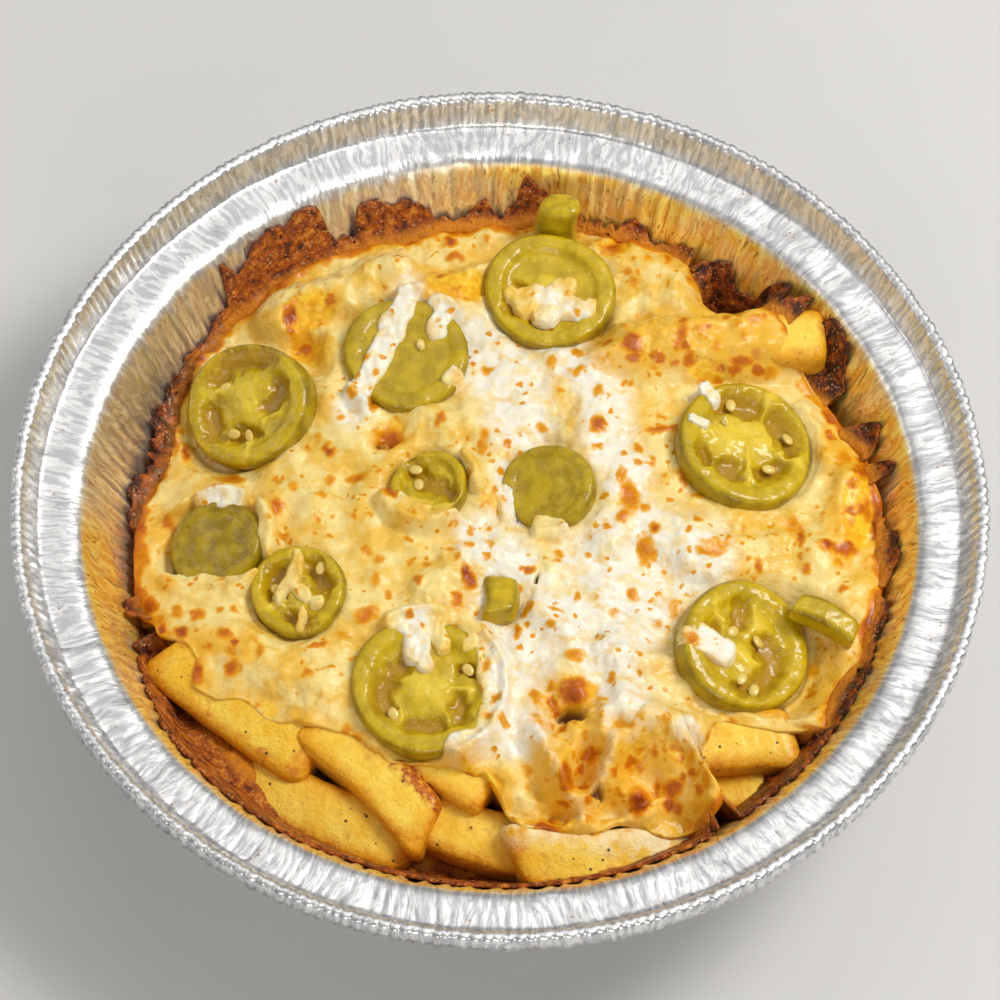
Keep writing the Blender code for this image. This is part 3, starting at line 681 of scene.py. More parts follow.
BED_CELLS = 170
BED_RIM = 70
BED_GAP = 0.4
BED_FLOOR = 0.8
BED_FLOOR_RADIUS = 54.5
bed_mesh = disc(BED_CELLS)
bed = points_of(bed_mesh)
share, azimuth = polar(bed)
rim = on_circles(BED_RIM, azimuth)
bed = on_circles(share * (wall_radius(bed_top(rim[:, 0], rim[:, 1])) - BED_GAP), azimuth)
bed[:, 2] = bed_top(bed[:, 0], bed[:, 1])
bed[:, 2] += 1.2 * lumps(bed, 6, 2.2) + 0.5 * lumps(bed, 2, 5.2) - 0.6
move_points(bed_mesh.verts, bed)
for low in (12.0, 4.0):
    skirt(bed_mesh, at_ring(lambda azimuth: wall_radius(low) - BED_GAP, lambda azimuth: low))
skirt(bed_mesh, at_ring(lambda azimuth: BED_FLOOR_RADIUS, lambda azimuth: BED_FLOOR))
close_skirt(bed_mesh, (0, 0, BED_FLOOR))

bed_finish = Finish("packed_fries", Roughness=0.45, Specular_IOR_Level=0.3)
bed_tone = bed_finish.noise(5, 3).step(0.35, 0.65)
bed_colour = bed_finish.mix(bed_tone, (0.28, 0.080, 0.008), (0.66, 0.30, 0.030))
bed_char = bed_finish.noise(2.2, 3).step(0.54, 0.66)
bed_finish.feed("Base Color", bed_finish.mix(bed_char * 0.7, bed_colour, (0.07, 0.018, 0.006)))
bed_finish.bump(bed_finish.noise(1.2, 4), 0.5)
settle("packed_fries", bed_mesh, bed_finish, "fried_potato", "fries_heap")

FRY_CUTS = (72, 13)         # along the bar, across it
TOWARD_BURN = (0.69, 0.72, 0)   # the way that two neighbours' burnt edges face


def fry_mesh(fry, seed, wild=1.0, squareness=6.0, end_scale=0.62):
    """A bar along its bowed axis, uneven in width, with soft edges and rough skin."""
    start, end, width, thickness, bow, roll = fry
    mesh = bmesh.new()
    bmesh.ops.create_cube(mesh, size=2.0)
    long_edges = [edge for edge in mesh.edges
                  if abs(edge.verts[0].co.x - edge.verts[1].co.x) > 1]
    bmesh.ops.subdivide_edges(mesh, edges=long_edges, cuts=FRY_CUTS[0], use_grid_fill=True)
    cross_edges = [edge for edge in mesh.edges
                   if abs(edge.verts[0].co.x - edge.verts[1].co.x) < 1e-6]
    bmesh.ops.subdivide_edges(mesh, edges=cross_edges, cuts=FRY_CUTS[1], use_grid_fill=True)
    bar = points_of(mesh)
    reach = np.abs(bar[:, 1:]).max(axis=1)
    direction = bar[:, 1:] / np.maximum(reach, 1e-9)[:, None]
    rounding = (np.abs(direction) ** squareness).sum(axis=1) ** (1 / squareness)
    section = direction * (reach / np.maximum(rounding, 1e-9))[:, None]
    along = 0.5 + 0.5 * bar[:, 0]
    blunt = np.sqrt(1 - (1 - np.clip(np.minimum(along, 1 - along) / 0.13, 0, 1)) ** 2)
    taper = end_scale + (1 - end_scale) * blunt
    draw = random.Random(seed)
    start, end = Vector(start), Vector(end)
    run = (end - start).normalized()
    side = run.cross(Vector((0, 0, 1))).normalized()
    above = side.cross(run)
    length = (end - start).length
    slant = wild * (draw.uniform(-0.3, 0.3) * (1 - along) + draw.uniform(-0.3, 0.3) * along)
    along = along + 0.5 * slant * section[:, 0] * width / length
    twist = np.radians(roll + wild * draw.uniform(-5, 5) * (2 * along - 1))[:, None]
    across = np.cos(twist) * np.array(side) + np.sin(twist) * np.array(above)
    up = np.cos(twist) * np.array(above) - np.sin(twist) * np.array(side)
    swell = 1 + 0.05 * np.sin(along * draw.uniform(3, 6) + draw.uniform(0, 6))
    lift = 1 + 0.05 * np.sin(along * draw.uniform(3, 6) + draw.uniform(0, 6))
    centre = (np.array(start) + along[:, None] * length * np.array(run)
              - (bow * 4 * along * (1 - along))[:, None] * np.array(side))
    flank = (0.5 * width * taper * swell * section[:, 0])[:, None] * across
    rise = (0.5 * thickness * taper * lift * section[:, 1])[:, None] * up
    points = centre + flank + rise
    outward = flank + rise
    outward /= np.maximum(np.linalg.norm(outward, axis=1), 1e-6)[:, None]
    rough = (0.34 * lumps(points, 11, seed) + 0.12 * lumps(points, 2.6, seed + 9)
             + 0.08 * lumps(points, 0.9, seed + 4))
    move_points(mesh.verts, keep_inside(points + outward * rough[:, None]))
    edge = smooth(0.40, 0.88, np.abs(section).min(axis=1))
    return mesh, along, edge


fries_mesh = bmesh.new()
fry_fields = {"edge": [], "burn": [], "pale": [], "flank": []}
for seed, (name, fry) in enumerate(BARE_FRIES.items()):
    one, along, edge = fry_mesh(fry, 3.7 * seed + 1, name != "far_right")
    one_data = bpy.data.meshes.new("fry")
    places = points_of(one)
    one.to_mesh(one_data)
    one.free()
    fries_mesh.from_mesh(one_data)
    bpy.data.meshes.remove(one_data)
    fry_fields["edge"].append(edge + np.maximum(smooth(0.88, 1.0, along),
                                                smooth(0.12, 0.0, along)))
    middle = 0.5 * (places.min(axis=0) + places.max(axis=0))
    beside = places[:, 2] - middle[2] - 0.5 * fry[3]
    fry_fields["flank"].append(smooth(-1.2, -3.0, beside))
    toward_burn = (places - middle) @ np.array(TOWARD_BURN)
    fry_fields["burn"].append((name == "middle_left") * smooth(3.0, 4.6, toward_burn)
                              + (name == "burnt") * smooth(-2.6, -4.4, toward_burn))
    # Painted highlight: the top of the bright fry is made paler, where the light catches it
    fry_fields["pale"].append(
        (name == "bright") * smooth(0, 1.0, places[:, 2] - middle[2])
        * smooth(-3.5, 0.5, places[:, 1] - middle[1] + 0.05 * places[:, 0]))

potato = Finish("fried_skin", Roughness=0.46, Coat_Weight=0.22, Coat_Roughness=0.22,
                Specular_IOR_Level=0.25)
potato_tone = potato.noise(6, 4, None, 0.65)
potato_colour = potato.mix(potato_tone.step(0.35, 0.65), (0.91, 0.53, 0.026), (0.97, 0.70, 0.090))
lower = potato.field("flank") * (0.35 + potato_tone)
potato_colour = potato.mix(lower * 0.8, potato_colour, (0.66, 0.27, 0.010))
grain = potato.noise(0.9, 4, None, 0.7)
golden_edge = (potato.field("edge") * (0.5 + 1.0 * potato.noise(4, 3))).at_most(1)
potato_colour = potato.mix(golden_edge * 0.85, potato_colour, (0.80, 0.35, 0.003))
browned = (potato.field("edge") * potato.noise(2.5, 3).step(0.50, 0.66) * 0.8
           + grain.step(0.55, 0.8) * 0.4 + potato.noise(3, 4).step(0.57, 0.70) * 0.6).at_most(1)
potato_colour = potato.mix(browned * 0.85, potato_colour, (0.66, 0.21, 0.003))
potato_colour = potato.mix(grain.step(0.48, 0.30) * 0.4, potato_colour, (0.93, 0.70, 0.16))
# Painted highlight on the top of the bright fry
potato_colour = potato.mix(potato.field("pale") * potato.noise(3, 4).step(0.3, 0.6),
                           potato_colour, (0.92, 0.76, 0.40))
scorch = (potato.field("burn") * 1.5 * potato.noise(1.6, 4).step(0.36, 0.60)).at_most(1)
potato_colour = potato.mix(scorch, potato_colour, potato.mix(
    grain.step(0.4, 0.6), (0.60, 0.17, 0.004), (0.36, 0.065, 0.003)))
pepper = (1 - potato.cells(2.3).step(0.10, 0.17)) * potato.noise(5, 1).step(0.5, 0.56)
potato.feed("Base Color", potato.mix(pepper * 0.9, potato_colour, (0.05, 0.02, 0.008)))
potato.bump(0.8 * potato.noise(1.6, 4, None, 0.65) + 0.6 * grain, 0.5)

fries = settle("fries", fries_mesh, potato, "fried_potato", "fries_heap")
for name, values in fry_fields.items():
    carry(fries, name, np.concatenate(values))


# The melted cheese
# Grated white cheese, melted into one soft blanket over the fries and baked until it blistered.
# It is thick and white in the middle, where it is whitened more as a painted highlight of its
# sheen, and thin and golden over the fries that press up under it.

CHEESE_CELLS = 296
# Browned blisters: column, row, half width, half height, how far they are toasted
BLISTERS = (
    (317, 437, 5, 5, .5), (308, 447, 4, 4, .6), (330, 449, 6, 6, .9), (357, 475, 14, 8, .75),
    (278, 482, 6, 6, .5), (294, 489, 7, 7, .5), (331, 481, 5, 5, .6), (279, 508, 9, 9, .75),
    (321, 496, 6, 6, .6), (341, 499, 3, 3, .6), (379, 474, 4, 4, .6), (391, 497, 9, 9, .9),
    (370, 517, 4, 4, .6), (354, 517, 4, 4, .6), (335, 516, 3, 3, .6), (316, 520, 4, 4, .6),
    (286, 537, 5, 5, .7), (269, 529, 4, 4, .6), (313, 533, 4, 4, .6), (328, 535, 4, 4, .6),
    (366, 549, 6, 6, .6), (377, 557, 6, 6, .6), (376, 578, 9, 9, .5), (388, 595, 6, 6, .6),
    (199, 616, 8, 8, .8), (178, 613, 7, 7, .6), (218, 611, 4, 4, .6), (232, 611, 5, 5, .6),
    (225, 637, 12, 6, .8), (234, 645, 6, 6, .95), (232, 667, 9, 9, .85), (197, 670, 8, 14, .9),
    (263, 652, 6, 8, .6), (306, 675, 8, 8, .7), (342, 637, 12, 5, .45), (318, 646, 12, 4, .7),
    (366, 616, 14, 7, .7), (149, 606, 10, 10, .9), (161, 627, 8, 8, .95), (181, 632, 8, 8, .95),
    (218, 488, 7, 4, .75), (231, 479, 14, 6, .7), (188, 452, 6, 10, .9),
    (449, 242, 9, 7, .95), (455, 259, 9, 5, .75), (484, 239, 4, 4, .6), (525, 229, 5, 5, .7),
    (514, 328, 10, 8, .7), (532, 341, 12, 8, .5), (550, 366, 8, 8, .5), (577, 373, 10, 7, .5),
    (580, 354, 6, 6, .6), (513, 363, 3, 3, .6), (488, 370, 7, 6, .6), (529, 385, 2, 2, .6),
    (561, 392, 4, 4, .6), (596, 394, 8, 8, .5), (630, 382, 4, 4, .6), (632, 344, 13, 12, .9),
    (653, 353, 6, 6, .7), (623, 326, 5, 5, .6), (647, 262, 5, 5, .6), (668, 259, 5, 8, .75),
    (634, 259, 3, 3, .6), (612, 247, 14, 9, .9), (629, 273, 6, 6, .6), (634, 287, 6, 9, .6),
    (669, 283, 4, 4, .6), (652, 367, 6, 6, .6), (681, 336, 10, 14, .75), (690, 352, 8, 6, .6),
    (718, 343, 6, 9, .6), (744, 336, 5, 10, .6), (755, 319, 10, 7, .6), (738, 324, 5, 5, .6),
    (741, 361, 14, 7, .85), (757, 354, 8, 8, .6), (772, 371, 12, 7, .6), (787, 383, 2, 2, .95),
    (701, 332, 6, 6, .6), (660, 414, 4, 4, .6), (664, 428, 22, 5, .8), (682, 476, 6, 12, .75),
    (666, 479, 4, 4, .6), (650, 465, 5, 5, .6), (697, 495, 5, 5, .6), (697, 520, 5, 5, .6),
    (743, 528, 3, 6, .6), (729, 540, 4, 4, .6), (646, 510, 6, 6, .6), (716, 547, 20, 6, .45),
    (651, 554, 8, 8, .6), (801, 539, 6, 12, .9), (829, 543, 14, 8, .95), (793, 522, 12, 10, .5),
    (831, 417, 9, 9, .75), (843, 459, 9, 9, .55), (865, 472, 10, 9, .85), (439, 423, 6, 6, .75),
    (391, 436, 16, 12, .85), (487, 439, 7, 7, .6), (483, 449, 7, 7, .6), (500, 434, 4, 4, .6),
    (507, 446, 4, 4, .75), (542, 424, 7, 7, .5), (598, 429, 10, 10, .85), (599, 449, 7, 4, .6),
    (490, 464, 4, 4, .6), (471, 479, 6, 4, .75), (500, 474, 5, 5, .6), (495, 495, 4, 4, .6),
    (503, 507, 4, 4, .6), (484, 505, 4, 4, .6), (414, 520, 5, 5, .6), (409, 538, 4, 4, .6),
    (412, 541, 3, 3, .6), (450, 551, 5, 5, .75), (467, 550, 5, 5, .6), (457, 562, 5, 5, .6),
    (427, 565, 5, 5, .6), (418, 581, 5, 9, .7), (470, 529, 4, 8, .5), (489, 531, 5, 5, .5),
    (487, 561, 5, 5, .6), (489, 547, 6, 6, .4), (468, 580, 8, 14, .95), (458, 601, 6, 11, .75),
    (526, 572, 8, 4, .85), (518, 588, 5, 5, .75), (528, 609, 6, 9, .6), (517, 628, 5, 11, .75),
    (528, 625, 3, 3, .6), (551, 630, 8, 5, .5), (482, 630, 4, 4, .6), (490, 637, 4, 6, .75),
    (557, 613, 9, 4, .5), (577, 595, 4, 8, .6), (597, 598, 3, 3, .6), (616, 612, 6, 6, .5),
    (634, 593, 7, 8, .6), (649, 598, 3, 3, .6), (657, 590, 4, 4, .6), (560, 553, 6, 6, .6),
    (556, 559, 4, 4, .6), (587, 556, 4, 4, .6), (543, 562, 3, 3, .6), (607, 528, 5, 5, .75),
    (606, 498, 4, 4, .6), (620, 480, 5, 10, .6), (622, 458, 4, 4, .6), (635, 465, 5, 5, .6),
    (639, 447, 5, 5, .6), (651, 459, 5, 5, .6), (630, 500, 12, 20, .7), (623, 520, 8, 8, .7),
    (646, 550, 11, 14, .65), (656, 530, 7, 7, .85), (601, 642, 3, 3, .6), (574, 657, 12, 7, .6),
    (609, 679, 5, 5, .6), (613, 686, 3, 3, .6), (575, 691, 18, 12, .9), (534, 695, 6, 6, .6),
    (479, 691, 4, 4, .6), (760, 569, 5, 8, .75), (750, 562, 4, 4, .6), (806, 570, 6, 6, .75),
    (794, 581, 4, 4, .6), (845, 589, 7, 5, .75), (688, 536, 4, 4, .6), (711, 554, 18, 6, .6),
    (667, 568, 3, 3, .6), (674, 607, 8, 12, .5), (657, 591, 4, 4, .6), (648, 599, 3, 3, .6),
    (658, 620, 4, 4, .6), (649, 638, 3, 3, .6), (813, 670, 9, 7, .5), (810, 688, 4, 4, .6),
    (537, 698, 8, 10, .5), (596, 750, 8, 8, .75), (567, 782, 8, 16, .85), (557, 739, 3, 3, .6),
    (504, 726, 5, 8, .5), (453, 806, 5, 5, .9), (593, 751, 10, 10, .75), (630, 763, 5, 5, .6),
    (642, 766, 5, 5, .6), (671, 784, 14, 12, .8), (669, 799, 8, 12, .95), (640, 804, 12, 18, 1),
    (699, 806, 8, 8, .5), (708, 784, 5, 9, .6), (697, 773, 9, 5, .6), (664, 723, 7, 7, .6),
    (357, 385, 5, 5, .6), (376, 382, 5, 5, .6), (367, 369, 4, 4, .5), (352, 400, 5, 5, .6),
    (372, 407, 6, 6, .7), (394, 371, 3, 3, .5), (340, 418, 5, 5, .6), (445, 322, 5, 4, .4),
    (437, 333, 4, 4, .4), (655, 748, 8, 7, .7), (640, 762, 9, 6, .7), (630, 731, 6, 6, .6),
    (674, 781, 11, 9, .9), (642, 807, 11, 10, 1), (700, 803, 12, 8, .5), (548, 828, 20, 8, .95),
    (594, 750, 9, 8, .8), (575, 684, 16, 9, .85), (604, 700, 8, 6, .5), (688, 760, 6, 6, .5),
    (667, 733, 6, 4, .5), (706, 780, 5, 7, .6), (622, 790, 7, 6, .7), (655, 790, 6, 6, .6),
    (410, 624, 5, 5, .7), (423, 636, 4, 4, .6), (486, 672, 6, 8, .6), (494, 705, 6, 6, .6),
    (487, 722, 6, 5, .7), (532, 305, 5, 4, .5), (566, 302, 5, 4, .5), (578, 320, 4, 4, .5),
    (862, 468, 12, 8, .75), (868, 505, 7, 14, .7), (846, 548, 15, 9, .9), (876, 530, 6, 14, .8),
    (690, 650, 7, 8, .75), (852, 520, 5, 8, .5), (291, 311, 7, 13, 1), (292, 330, 6, 7, .8),
    (628, 240, 20, 7, .8), (621, 729, 6, 6, .6), (717, 825, 10, 10, .75), (586, 734, 5, 5, .6),
)
# Holes and deep folds, sunk and with painted shade inside: column, row, half width, half height
DARK_HOLES = ((381, 441, 6, 4), (569, 711, 13, 8), (599, 795, 7, 6), (776, 710, 9, 7),
              (799, 756, 6, 6), (752, 788, 8, 5), (535, 580, 3, 3))
# Strokes: half width in pixels, then the column and row of each of its points
# White cheese in strings and bits, and in the broad strokes over the middle a painted highlight:
# there the colour is whitened for the cheese's sheen
WHITE_STROKES = (
    (34, 470, 345, 510, 380, 520, 420), (26, 560, 345, 600, 380, 610, 440, 625, 480),
    (40, 590, 570, 640, 545, 690, 560), (38, 560, 610, 610, 640, 640, 600),
    (30, 520, 640, 545, 700, 520, 730), (26, 480, 540, 510, 565, 500, 600),
    (30, 600, 650, 620, 700), (16, 412, 290, 395, 330, 380, 365, 352, 415),
    (16, 415, 628, 417, 672), (16, 478, 750, 460, 752), (15, 497, 662, 505, 740),
    (14, 700, 648, 722, 655), (9, 540, 302, 552, 306), (10, 572, 314, 582, 320),
    (12, 440, 312, 440, 335), (10, 702, 396, 716, 410), (8, 690, 427, 706, 432),
    (8, 684, 731, 698, 745, 711, 768), (14, 215, 503, 228, 508), (10, 500, 470, 515, 520),
    (5, 536, 737, 556, 770, 582, 818), (5, 625, 745, 640, 729, 664, 719),
    (6, 608, 726, 612, 750, 600, 785), (5, 660, 770, 650, 790), (5, 690, 765, 685, 790),
)
# Where the cheese is so thin that the fries show golden through it
THIN_STROKES = (
    (17, 300, 312, 330, 304), (15, 305, 345, 318, 355), (15, 438, 284, 482, 284),
    (12, 606, 248, 620, 245), (27, 610, 350, 660, 345, 700, 338, 745, 335, 775, 325),
    (22, 700, 360, 745, 372),
    (28, 852, 470, 858, 545), (18, 160, 530, 175, 545), (28, 450, 785, 480, 790),
    (30, 562, 700, 600, 780), (44, 640, 765, 690, 795), (24, 548, 770, 570, 810),
    (13, 195, 640, 250, 650), (24, 840, 440, 850, 470), (22, 835, 655, 815, 690),
    (14, 385, 438, 395, 428), (16, 750, 370, 790, 350),
)
# How far the open edge over the bare fries strays from its line: azimuth, millimetres
STRAYING = ((185, 0), (199, -0.6), (203.8, -2.8), (207, -2.2), (211.7, 1.6), (215.3, 1.4),
            (218.6, -0.8), (226, 0.8), (229.3, -1.4), (238.5, -2.7), (245.7, -1.6), (252, 0),
            (270, -0.5), (280, 1.5), (290, 1.2), (302, 2.5), (308, 1), (313, -1), (320, 0.5),
            (322, 0.5), (325, 3.2), (327.5, 2.5), (331, 0))
# Ridges and hollows of the sagging cheese: half width, rise in mm, then columns and rows
RELIEF = (
    (11, 1.7, 533, 733, 552, 765, 582, 820), (10, 1.5, 576, 722, 570, 748, 560, 778),
    (12, 2.0, 600, 722, 612, 745, 606, 775, 592, 796),
    (12, 2.2, 618, 758, 638, 728, 664, 717, 695, 732, 711, 767, 722, 822),
    (26, -1.3, 650, 768, 680, 800), (10, -1.6, 594, 748, 585, 790), (12, -1.5, 545, 790, 560, 812),
    (9, 1.5, 642, 792, 632, 806, 646, 816, 654, 804), (12, -1.6, 556, 712, 582, 716),
    (16, 1.3, 470, 690, 490, 735), (20, 1.0, 450, 775, 500, 790), (14, 1.2, 615, 640, 622, 700),
    (12, 1.3, 540, 610, 580, 650, 640, 660), (14, -1.0, 690, 620, 660, 640),
    (16, 1.4, 470, 420, 500, 450, 490, 490), (12, 1.0, 400, 395, 440, 425), (12, -1.2, 385, 436),
    (12, 1.2, 270, 285, 330, 262, 400, 262), (10, -1.0, 300, 312, 340, 318),
    (14, 1.2, 335, 340, 330, 400),
    (12, -1.0, 300, 350, 318, 366), (16, 1.3, 620, 300, 690, 318), (12, -1.0, 560, 330, 600, 320),
    (16, 1.2, 650, 520, 720, 555, 780, 545), (14, -1.1, 640, 560, 690, 590),
    (14, 1.2, 430, 590, 460, 560, 500, 560), (12, -0.9, 520, 600, 500, 640),
    (14, 1.1, 180, 600, 240, 650, 320, 690), (14, 1.2, 270, 490, 330, 510),
    (12, -0.9, 350, 470, 330, 520), (18, 1.2, 560, 350, 600, 400, 590, 450),
    (12, -1.0, 540, 420, 560, 480), (16, 1.2, 620, 470, 610, 540),
    (14, 1.2, 800, 420, 845, 470), (12, -0.9, 780, 520, 830, 520),
)
# Where a fry shows bare, in the same way
FRY_PATCHES = (
    (15, 300, 314, 320, 303), (12, 303, 338, 312, 352), (13, 442, 286, 476, 282),
    (9, 606, 248, 620, 245), (9, 384, 440, 398, 430), (13, 466, 783, 492, 790),
    (12, 700, 364, 715, 372), (16, 858, 490, 862, 530), (9, 570, 700, 590, 690),
)
# Cheese that lies over a slice, in the same way
COVERS = {
    "jalapeno_2": ((12, 412, 286, 400, 320, 388, 350, 372, 375, 358, 400, 350, 425),
                   (12, 440, 310, 452, 318, 438, 338), (6, 421, 354), (8, 455, 380, 448, 388)),
    "jalapeno_3": ((12, 524, 307, 534, 299), (13, 548, 306, 561, 298), (12, 566, 312, 575, 318),
                   (7, 538, 321, 556, 323), (9, 587, 319), (7, 511, 300)),
    "jalapeno_5": ((8, 705, 399, 713, 406), (6, 693, 429, 705, 432), (4, 724, 430)),
    "jalapeno_6": ((9, 540, 530, 556, 532), (7, 502, 492, 506, 520)),
    "jalapeno_7": ((14, 388, 506, 425, 524, 458, 536), (9, 470, 455, 478, 480)),
    "jalapeno_8": ((13, 206, 500, 236, 505), (13, 272, 510, 273, 552), (14, 163, 508, 178, 492),
                   (12, 160, 590, 205, 594, 252, 590)),
    "jalapeno_9": ((7, 297, 566, 292, 588, 280, 602), (9, 303, 600), (7, 317, 607),
                   (5, 304, 618, 300, 634)),
    "jalapeno_10": ((19, 405, 622, 427, 626), (14, 414, 640, 416, 650), (8, 419, 656, 426, 668),
                    (7, 434, 638, 444, 652), (15, 490, 650, 495, 700, 488, 742),
                    (14, 480, 748, 458, 755), (8, 470, 650)),
    "jalapeno_11": ((14, 700, 648, 722, 655), (9, 688, 648)),
}


def ellipses(pixels, marks, soft):
    """Share, at each point, of the marks there: 1 in their middles, 0 at their rims."""
    found = np.zeros(len(pixels))
    for column, row, wide, tall, *amount in marks:
        away = np.hypot((pixels[:, 0] - column) / wide, (pixels[:, 1] - row) / tall) / 1.12
        inside = 1 - smooth(1 - soft, 1 + 0.35 * soft, away)
        found = np.maximum(found, (amount[0] if amount else 1.0) * inside)
    return found


def strokes(pixels, marks, soft):
    """Share, at each point, of brush strokes of a half width along their corners."""
    found = np.zeros(len(pixels))
    for wide, *corners in marks:
        knots = np.array(corners, float).reshape(-1, 2)
        knots = np.concatenate((knots, knots[-1:]))
        for start, end in zip(knots, knots[1:]):
            run = end - start
            along = ((pixels - start) @ run) / max(run @ run, 1e-6)
            nearest = start + np.clip(along, 0, 1)[:, None] * run
            away = np.hypot(*(pixels - nearest).T) / wide
            found = np.maximum(found, 1 - smooth(1 - soft, 1 + soft, away))
    return found


def around_pan(azimuth, radius=40):
    """Points on a level circle, for noise that has no seam."""
    return on_circles(radius, azimuth)


def blanket_edge(azimuth):
    strays = round_curve(STRAYING, azimuth, 1)
    return edge_radius(azimuth) + 0.8 + strays + 1.0 * lumps(around_pan(azimuth), 5, 4.4, 3)


def drape(x, y):
    """Top of the bare fries and their bed with a thin film of cheese on them."""
    top = bed_top(x, y) + 2.0
    for start, end, width, height, bow, roll in BARE_FRIES.values():
        run = np.array((end[0] - start[0], end[1] - start[1]))
        length = np.hypot(*run)
        run = run / length
        along = ((x - start[0]) * run[0] + (y - start[1]) * run[1]) / length
        inside = np.clip(along, 0, 1)
        nearer = (x - start[0]) * run[1] - (y - start[1]) * run[0] + bow * 4 * inside * (1 - inside)
        beside = np.hypot(nearer, (along - inside) * length) / (0.56 * width)
        back = (start[2] + inside * (end[2] - start[2]) + 0.5 * height + 1.0
                + math.tan(math.radians(roll)) * nearer)
        back -= 0.5 * height * np.minimum(beside, 1) ** 6 + 4 * np.maximum(beside - 1, 0)
        top = soft_max(top, back, 1.5)
    return top


def blanket_top(x, y):
    """Top of the cheese: over its open edge it thins out and hugs the fries below."""
    radius, azimuth = polar_of(x, y)
    open_side = 1 - touching_wall(azimuth)
    near_edge = smooth(8.0, 1.0, blanket_edge(azimuth) - radius) * open_side
    top = food_top(x, y)
    return top + near_edge * (np.minimum(drape(x, y), top + 1.5) - top)


def over_slices(points, pixels):
    """Sinks the cheese out of the way under each slice, and lays it over where it covers one."""
    for name, (centre, slice_radius, _, tilt, facing) in SLICES.items():
        away = np.hypot(points[:, 0] - centre[0], points[:, 1] - centre[1])
        near = np.flatnonzero(away < slice_radius + 4)
        away = away[near]
        plane = SLICE_SINK + dip_height(points[near, 0], points[near, 1], centre, slice_radius,
                                        tilt, facing)
        top = points[near, 2]
        top += smooth(slice_radius - 0.3, slice_radius - 2.0, away) * (plane - 4.3 - top)
        share = strokes(pixels[near], COVERS.get(name, ()), 0.4)
        target = plane + 0.25 + 0.55 * share + 0.6 * lumps(points[near], 2.0, 3.3)
        share = smooth(0.0, 0.6, share) * smooth(slice_radius + 4, slice_radius + 1, away)
        points[near, 2] = top + share * np.maximum(target - top, 0)


def astray(pixels, points, reach, size, seeds, octaves=2):
    """Pixels of points, pushed about so that what is painted there gets a ragged outline."""
    push = [lumps(points, size, seed, octaves) for seed in seeds]
    return pixels + reach * np.stack(push, 1)


def cheese_fields(points):
    """What the cheese's colour depends on, at points of its top."""
    level = points.copy()
    level[:, 2] = 0
    pixels = astray(pixels_of(points), level, 3.0, 1.6, (2.5, 12.5))
    pixels = astray(pixels, level, 3.5, 4.0, (5.5, 15.5))
    radius, azimuth = polar(points)
    open_side = 1 - touching_wall(azimuth)
    rim = smooth(2.4, 0.2, blanket_edge(azimuth) - radius + 1.6 * lumps(level, 3.0, 8.5))
    return {"toast": ellipses(pixels, BLISTERS, 0.75), "hole": ellipses(pixels, DARK_HOLES, 0.5),
            "white": strokes(pixels, WHITE_STROKES, 0.6), "thin": np.maximum(
                strokes(pixels, THIN_STROKES, 0.45),
                0.75 * open_side * smooth(3.5, 0.3, blanket_edge(azimuth) - radius)),
            "rim": rim * (1 - 0.85 * open_side), "patch": strokes(pixels, FRY_PATCHES, 0.22)}


cheese_mesh = disc(CHEESE_CELLS)
blanket = points_of(cheese_mesh)
share, azimuth = polar(blanket)
blanket = on_circles(share * blanket_edge(azimuth), azimuth)
blanket[:, 2] = blanket_top(blanket[:, 0], blanket[:, 1])
fields = cheese_fields(blanket)
level = blanket.copy()
level[:, 2] = 0
pixels = astray(pixels_of(blanket), level, 5.0, 2.6, (2.5, 12.5), 3)
for wide, rise, *corners in RELIEF:
    blanket[:, 2] += 1.5 * rise * strokes(pixels, ((wide, *corners),), 0.95)
blanket[:, 2] += (0.9 * lumps(level, 11, 1.3) + 0.8 * lumps(level, 4.6, 6.3)
                  + 0.22 * lumps(level, 1.6, 7.7) + 0.30 * fields["toast"] - 2.4 * fields["hole"]
                  - 0.4 * fields["thin"] - 0.6 * fields["patch"])
blanket[:, 2] = np.minimum(blanket[:, 2], FOOD_LIMIT + 0.5)
over_slices(blanket, astray(pixels_of(blanket), level, 5.0, 4.0, (21.5, 31.5), 1))
move_points(cheese_mesh.verts, blanket)
edge_knots = np.arange(0, 360, 1.0)
edge_places = around_pan(edge_knots, 1.0) * blanket_edge(edge_knots)[:, None]
edge_tops = blanket_top(edge_places[:, 0], edge_places[:, 1])
for outward, drop in ((0.35, 0.3), (0.55, 0.8), (0.5, 1.4), (0.0, 2.4), (-2.0, 3.6)):
    skirt(cheese_mesh, at_ring(
        lambda azimuth: blanket_edge(azimuth) + outward,
        lambda azimuth: np.interp(azimuth, edge_knots, edge_tops, period=360) - drop))
skirt(cheese_mesh, at_ring(lambda azimuth: 0.7 * edge_radius(azimuth), lambda azimuth: 22.0))
close_skirt(cheese_mesh, (0, 0, 24.0))
blanket = keep_inside(points_of(cheese_mesh))
move_points(cheese_mesh.verts, blanket)
below = cheese_fields(blanket[len(level):])
fields = {name: np.concatenate((fields[name], below[name])) for name in fields}

cheese = Finish("melted_cheese", Roughness=0.36, Subsurface_Weight=0.3,
                Subsurface_Scale=0.002, Specular_IOR_Level=0.3, Coat_Weight=0.15,
                Coat_Roughness=0.12)
cheese.feed("Subsurface Radius", (1.0, 0.62, 0.30))
mottle = cheese.noise(7, 4, None, 0.6)
fine = cheese.noise(1.4, 4, None, 0.6)
cheese_colour = cheese.mix(mottle.step(0.40, 0.60), (0.83, 0.52, 0.075), (0.89, 0.71, 0.27))
broken = cheese.noise(3.2, 3, None, 0.6).step(0.34, 0.58)
